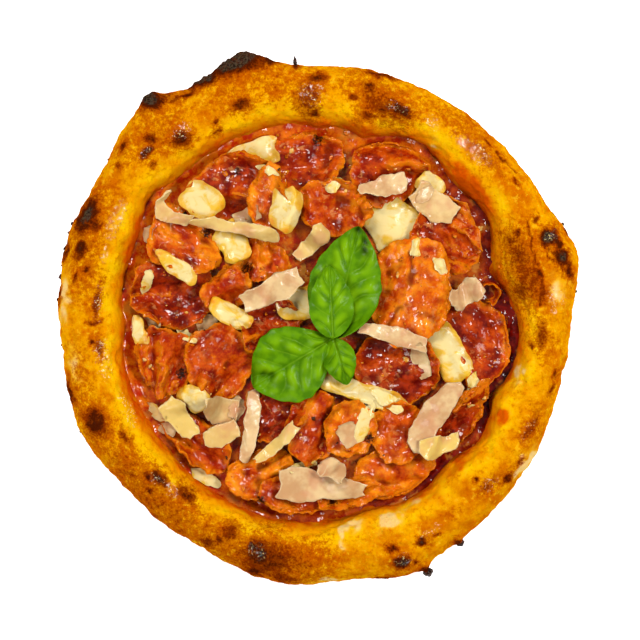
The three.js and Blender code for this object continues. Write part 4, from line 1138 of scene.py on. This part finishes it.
def make_small_things(materials):
    """Everything that lies scattered on the toppings and on the rim."""
    bpy.context.view_layer.update()
    graph = bpy.context.evaluated_depsgraph_get()
    made = [thing for thing in bpy.context.scene.objects if thing.name.startswith(ON_TOP)]
    made = [thing for thing in made if thing.name not in frame["nodes"]]
    trees = {thing.name: BVHTree.FromObject(thing, graph) for thing in made}
    parmesan, mozzarella = materials
    joined_sheets("shavings_small", SMALL_SHAVINGS, trees, 0.5, 500, True, parmesan)
    joined_sheets("cheese_streaks", CHEESE_STREAKS, trees, 1.0, 700, False, mozzarella)
    crisp = speck_material("salami_crumb", seen(168, 52, 2), seen(232, 128, 14), 0.3)
    oil = speck_material("oil_drop", seen(214, 84, 2), seen(246, 150, 20), 1.0)
    burnt = speck_material("burnt_speck", seen(40, 16, 4), seen(96, 46, 14), 0.2)
    curd = speck_material("cheese_bit", seen(250, 206, 120), seen(236, 150, 40), 0.4)
    clean = ("basil", "parmesan", "mozzarella")
    lumps("salami_crumbs", scattered(trees, 90, 110, 1, clean), (0.4, 1.4), 0.5, 0.9, 1, crisp)
    lumps("oil_drops", scattered(trees, 110, 110, 2, clean), (0.4, 1.5), 0.15, 0.5, 2, oil)
    specks = scattered(trees, 16, 106, 3, clean) + outer_crumbs(trees["crust_baked"])
    lumps("burnt_specks", specks, (0.4, 1.1), 0.5, 0.9, 3, burnt)
    lumps("cheese_bits", scattered(trees, 24, 108, 4, clean), (0.5, 1.5), 0.3, 0.9, 4, curd)


# ---------- stage

# Lights: name, place and size in metres, and the share of white that each lights a white surface up to.
LIGHTS = [
    ("key", (0.75, 0.1, 1.15), 0.4, 0.66), ("back", (-0.2, 0.7, 1.15), 0.3, 0.46),
    ("fill", (-0.8, -0.4, 1.1), 0.6, 0.38),
]
WORLD_GLOW = 0.2
FLOOR_SIZE = 6  # in metres


def area_light(name, place, size, share):
    """A square light facing the pizza, which lights white up to share of white."""
    distance = math.dist(place, (0, 0, 0))
    lamp = bpy.data.lights.new(name, "AREA")
    lamp.size = size
    lamp.energy = share * (math.pi * distance) ** 2 * distance / place[2]
    made = bpy.data.objects.new(name, lamp)
    made.location = place
    made.rotation_euler = Vector(place).to_track_quat("Z", "Y").to_euler()
    bpy.context.scene.collection.objects.link(made)


def make_stage():
    """The floor, the lights and the even surroundings."""
    bpy.ops.mesh.primitive_plane_add(size=FLOOR_SIZE)
    floor = bpy.context.object
    floor.name = "floor"
    floor.data.materials.append(floor_material())
    for light in LIGHTS:
        area_light(*light)
    world = bpy.data.worlds.new("studio")
    world.use_nodes = True
    background = world.node_tree.nodes["Background"]
    background.inputs["Color"].default_value = (1, 1, 1, 1)
    background.inputs["Strength"].default_value = WORLD_GLOW
    bpy.context.scene.world = world
    bpy.context.scene.view_settings.view_transform = "Standard"


CAMERA_HEIGHT = 3.0  # in metres
RIM_HEIGHT = 0.016  # where the rim is widest, in metres
SENSOR = 36  # as wide as that of a usual camera


def make_camera():
    """A camera straight above, from which the rim is as wide as in the photograph."""
    lens = bpy.data.cameras.new("camera")
    lens.sensor_width = SENSOR
    lens.lens = SENSOR * (CAMERA_HEIGHT - RIM_HEIGHT) / (PHOTO_WIDTH * MM)
    camera = bpy.data.objects.new("camera", lens)
    camera.location = (PHOTO_CENTRE[0] * MM, PHOTO_CENTRE[1] * MM, CAMERA_HEIGHT)
    bpy.context.scene.collection.objects.link(camera)
    bpy.context.scene.camera = camera


make_camera()
make_crust()
make_beads()
make_sauce()
make_salami()
cheeses = parmesan_material(), mozzarella_material()
make_parmesan(cheeses[0])
make_mozzarella(cheeses[1])
make_basil()
make_small_things(cheeses)
make_stage()
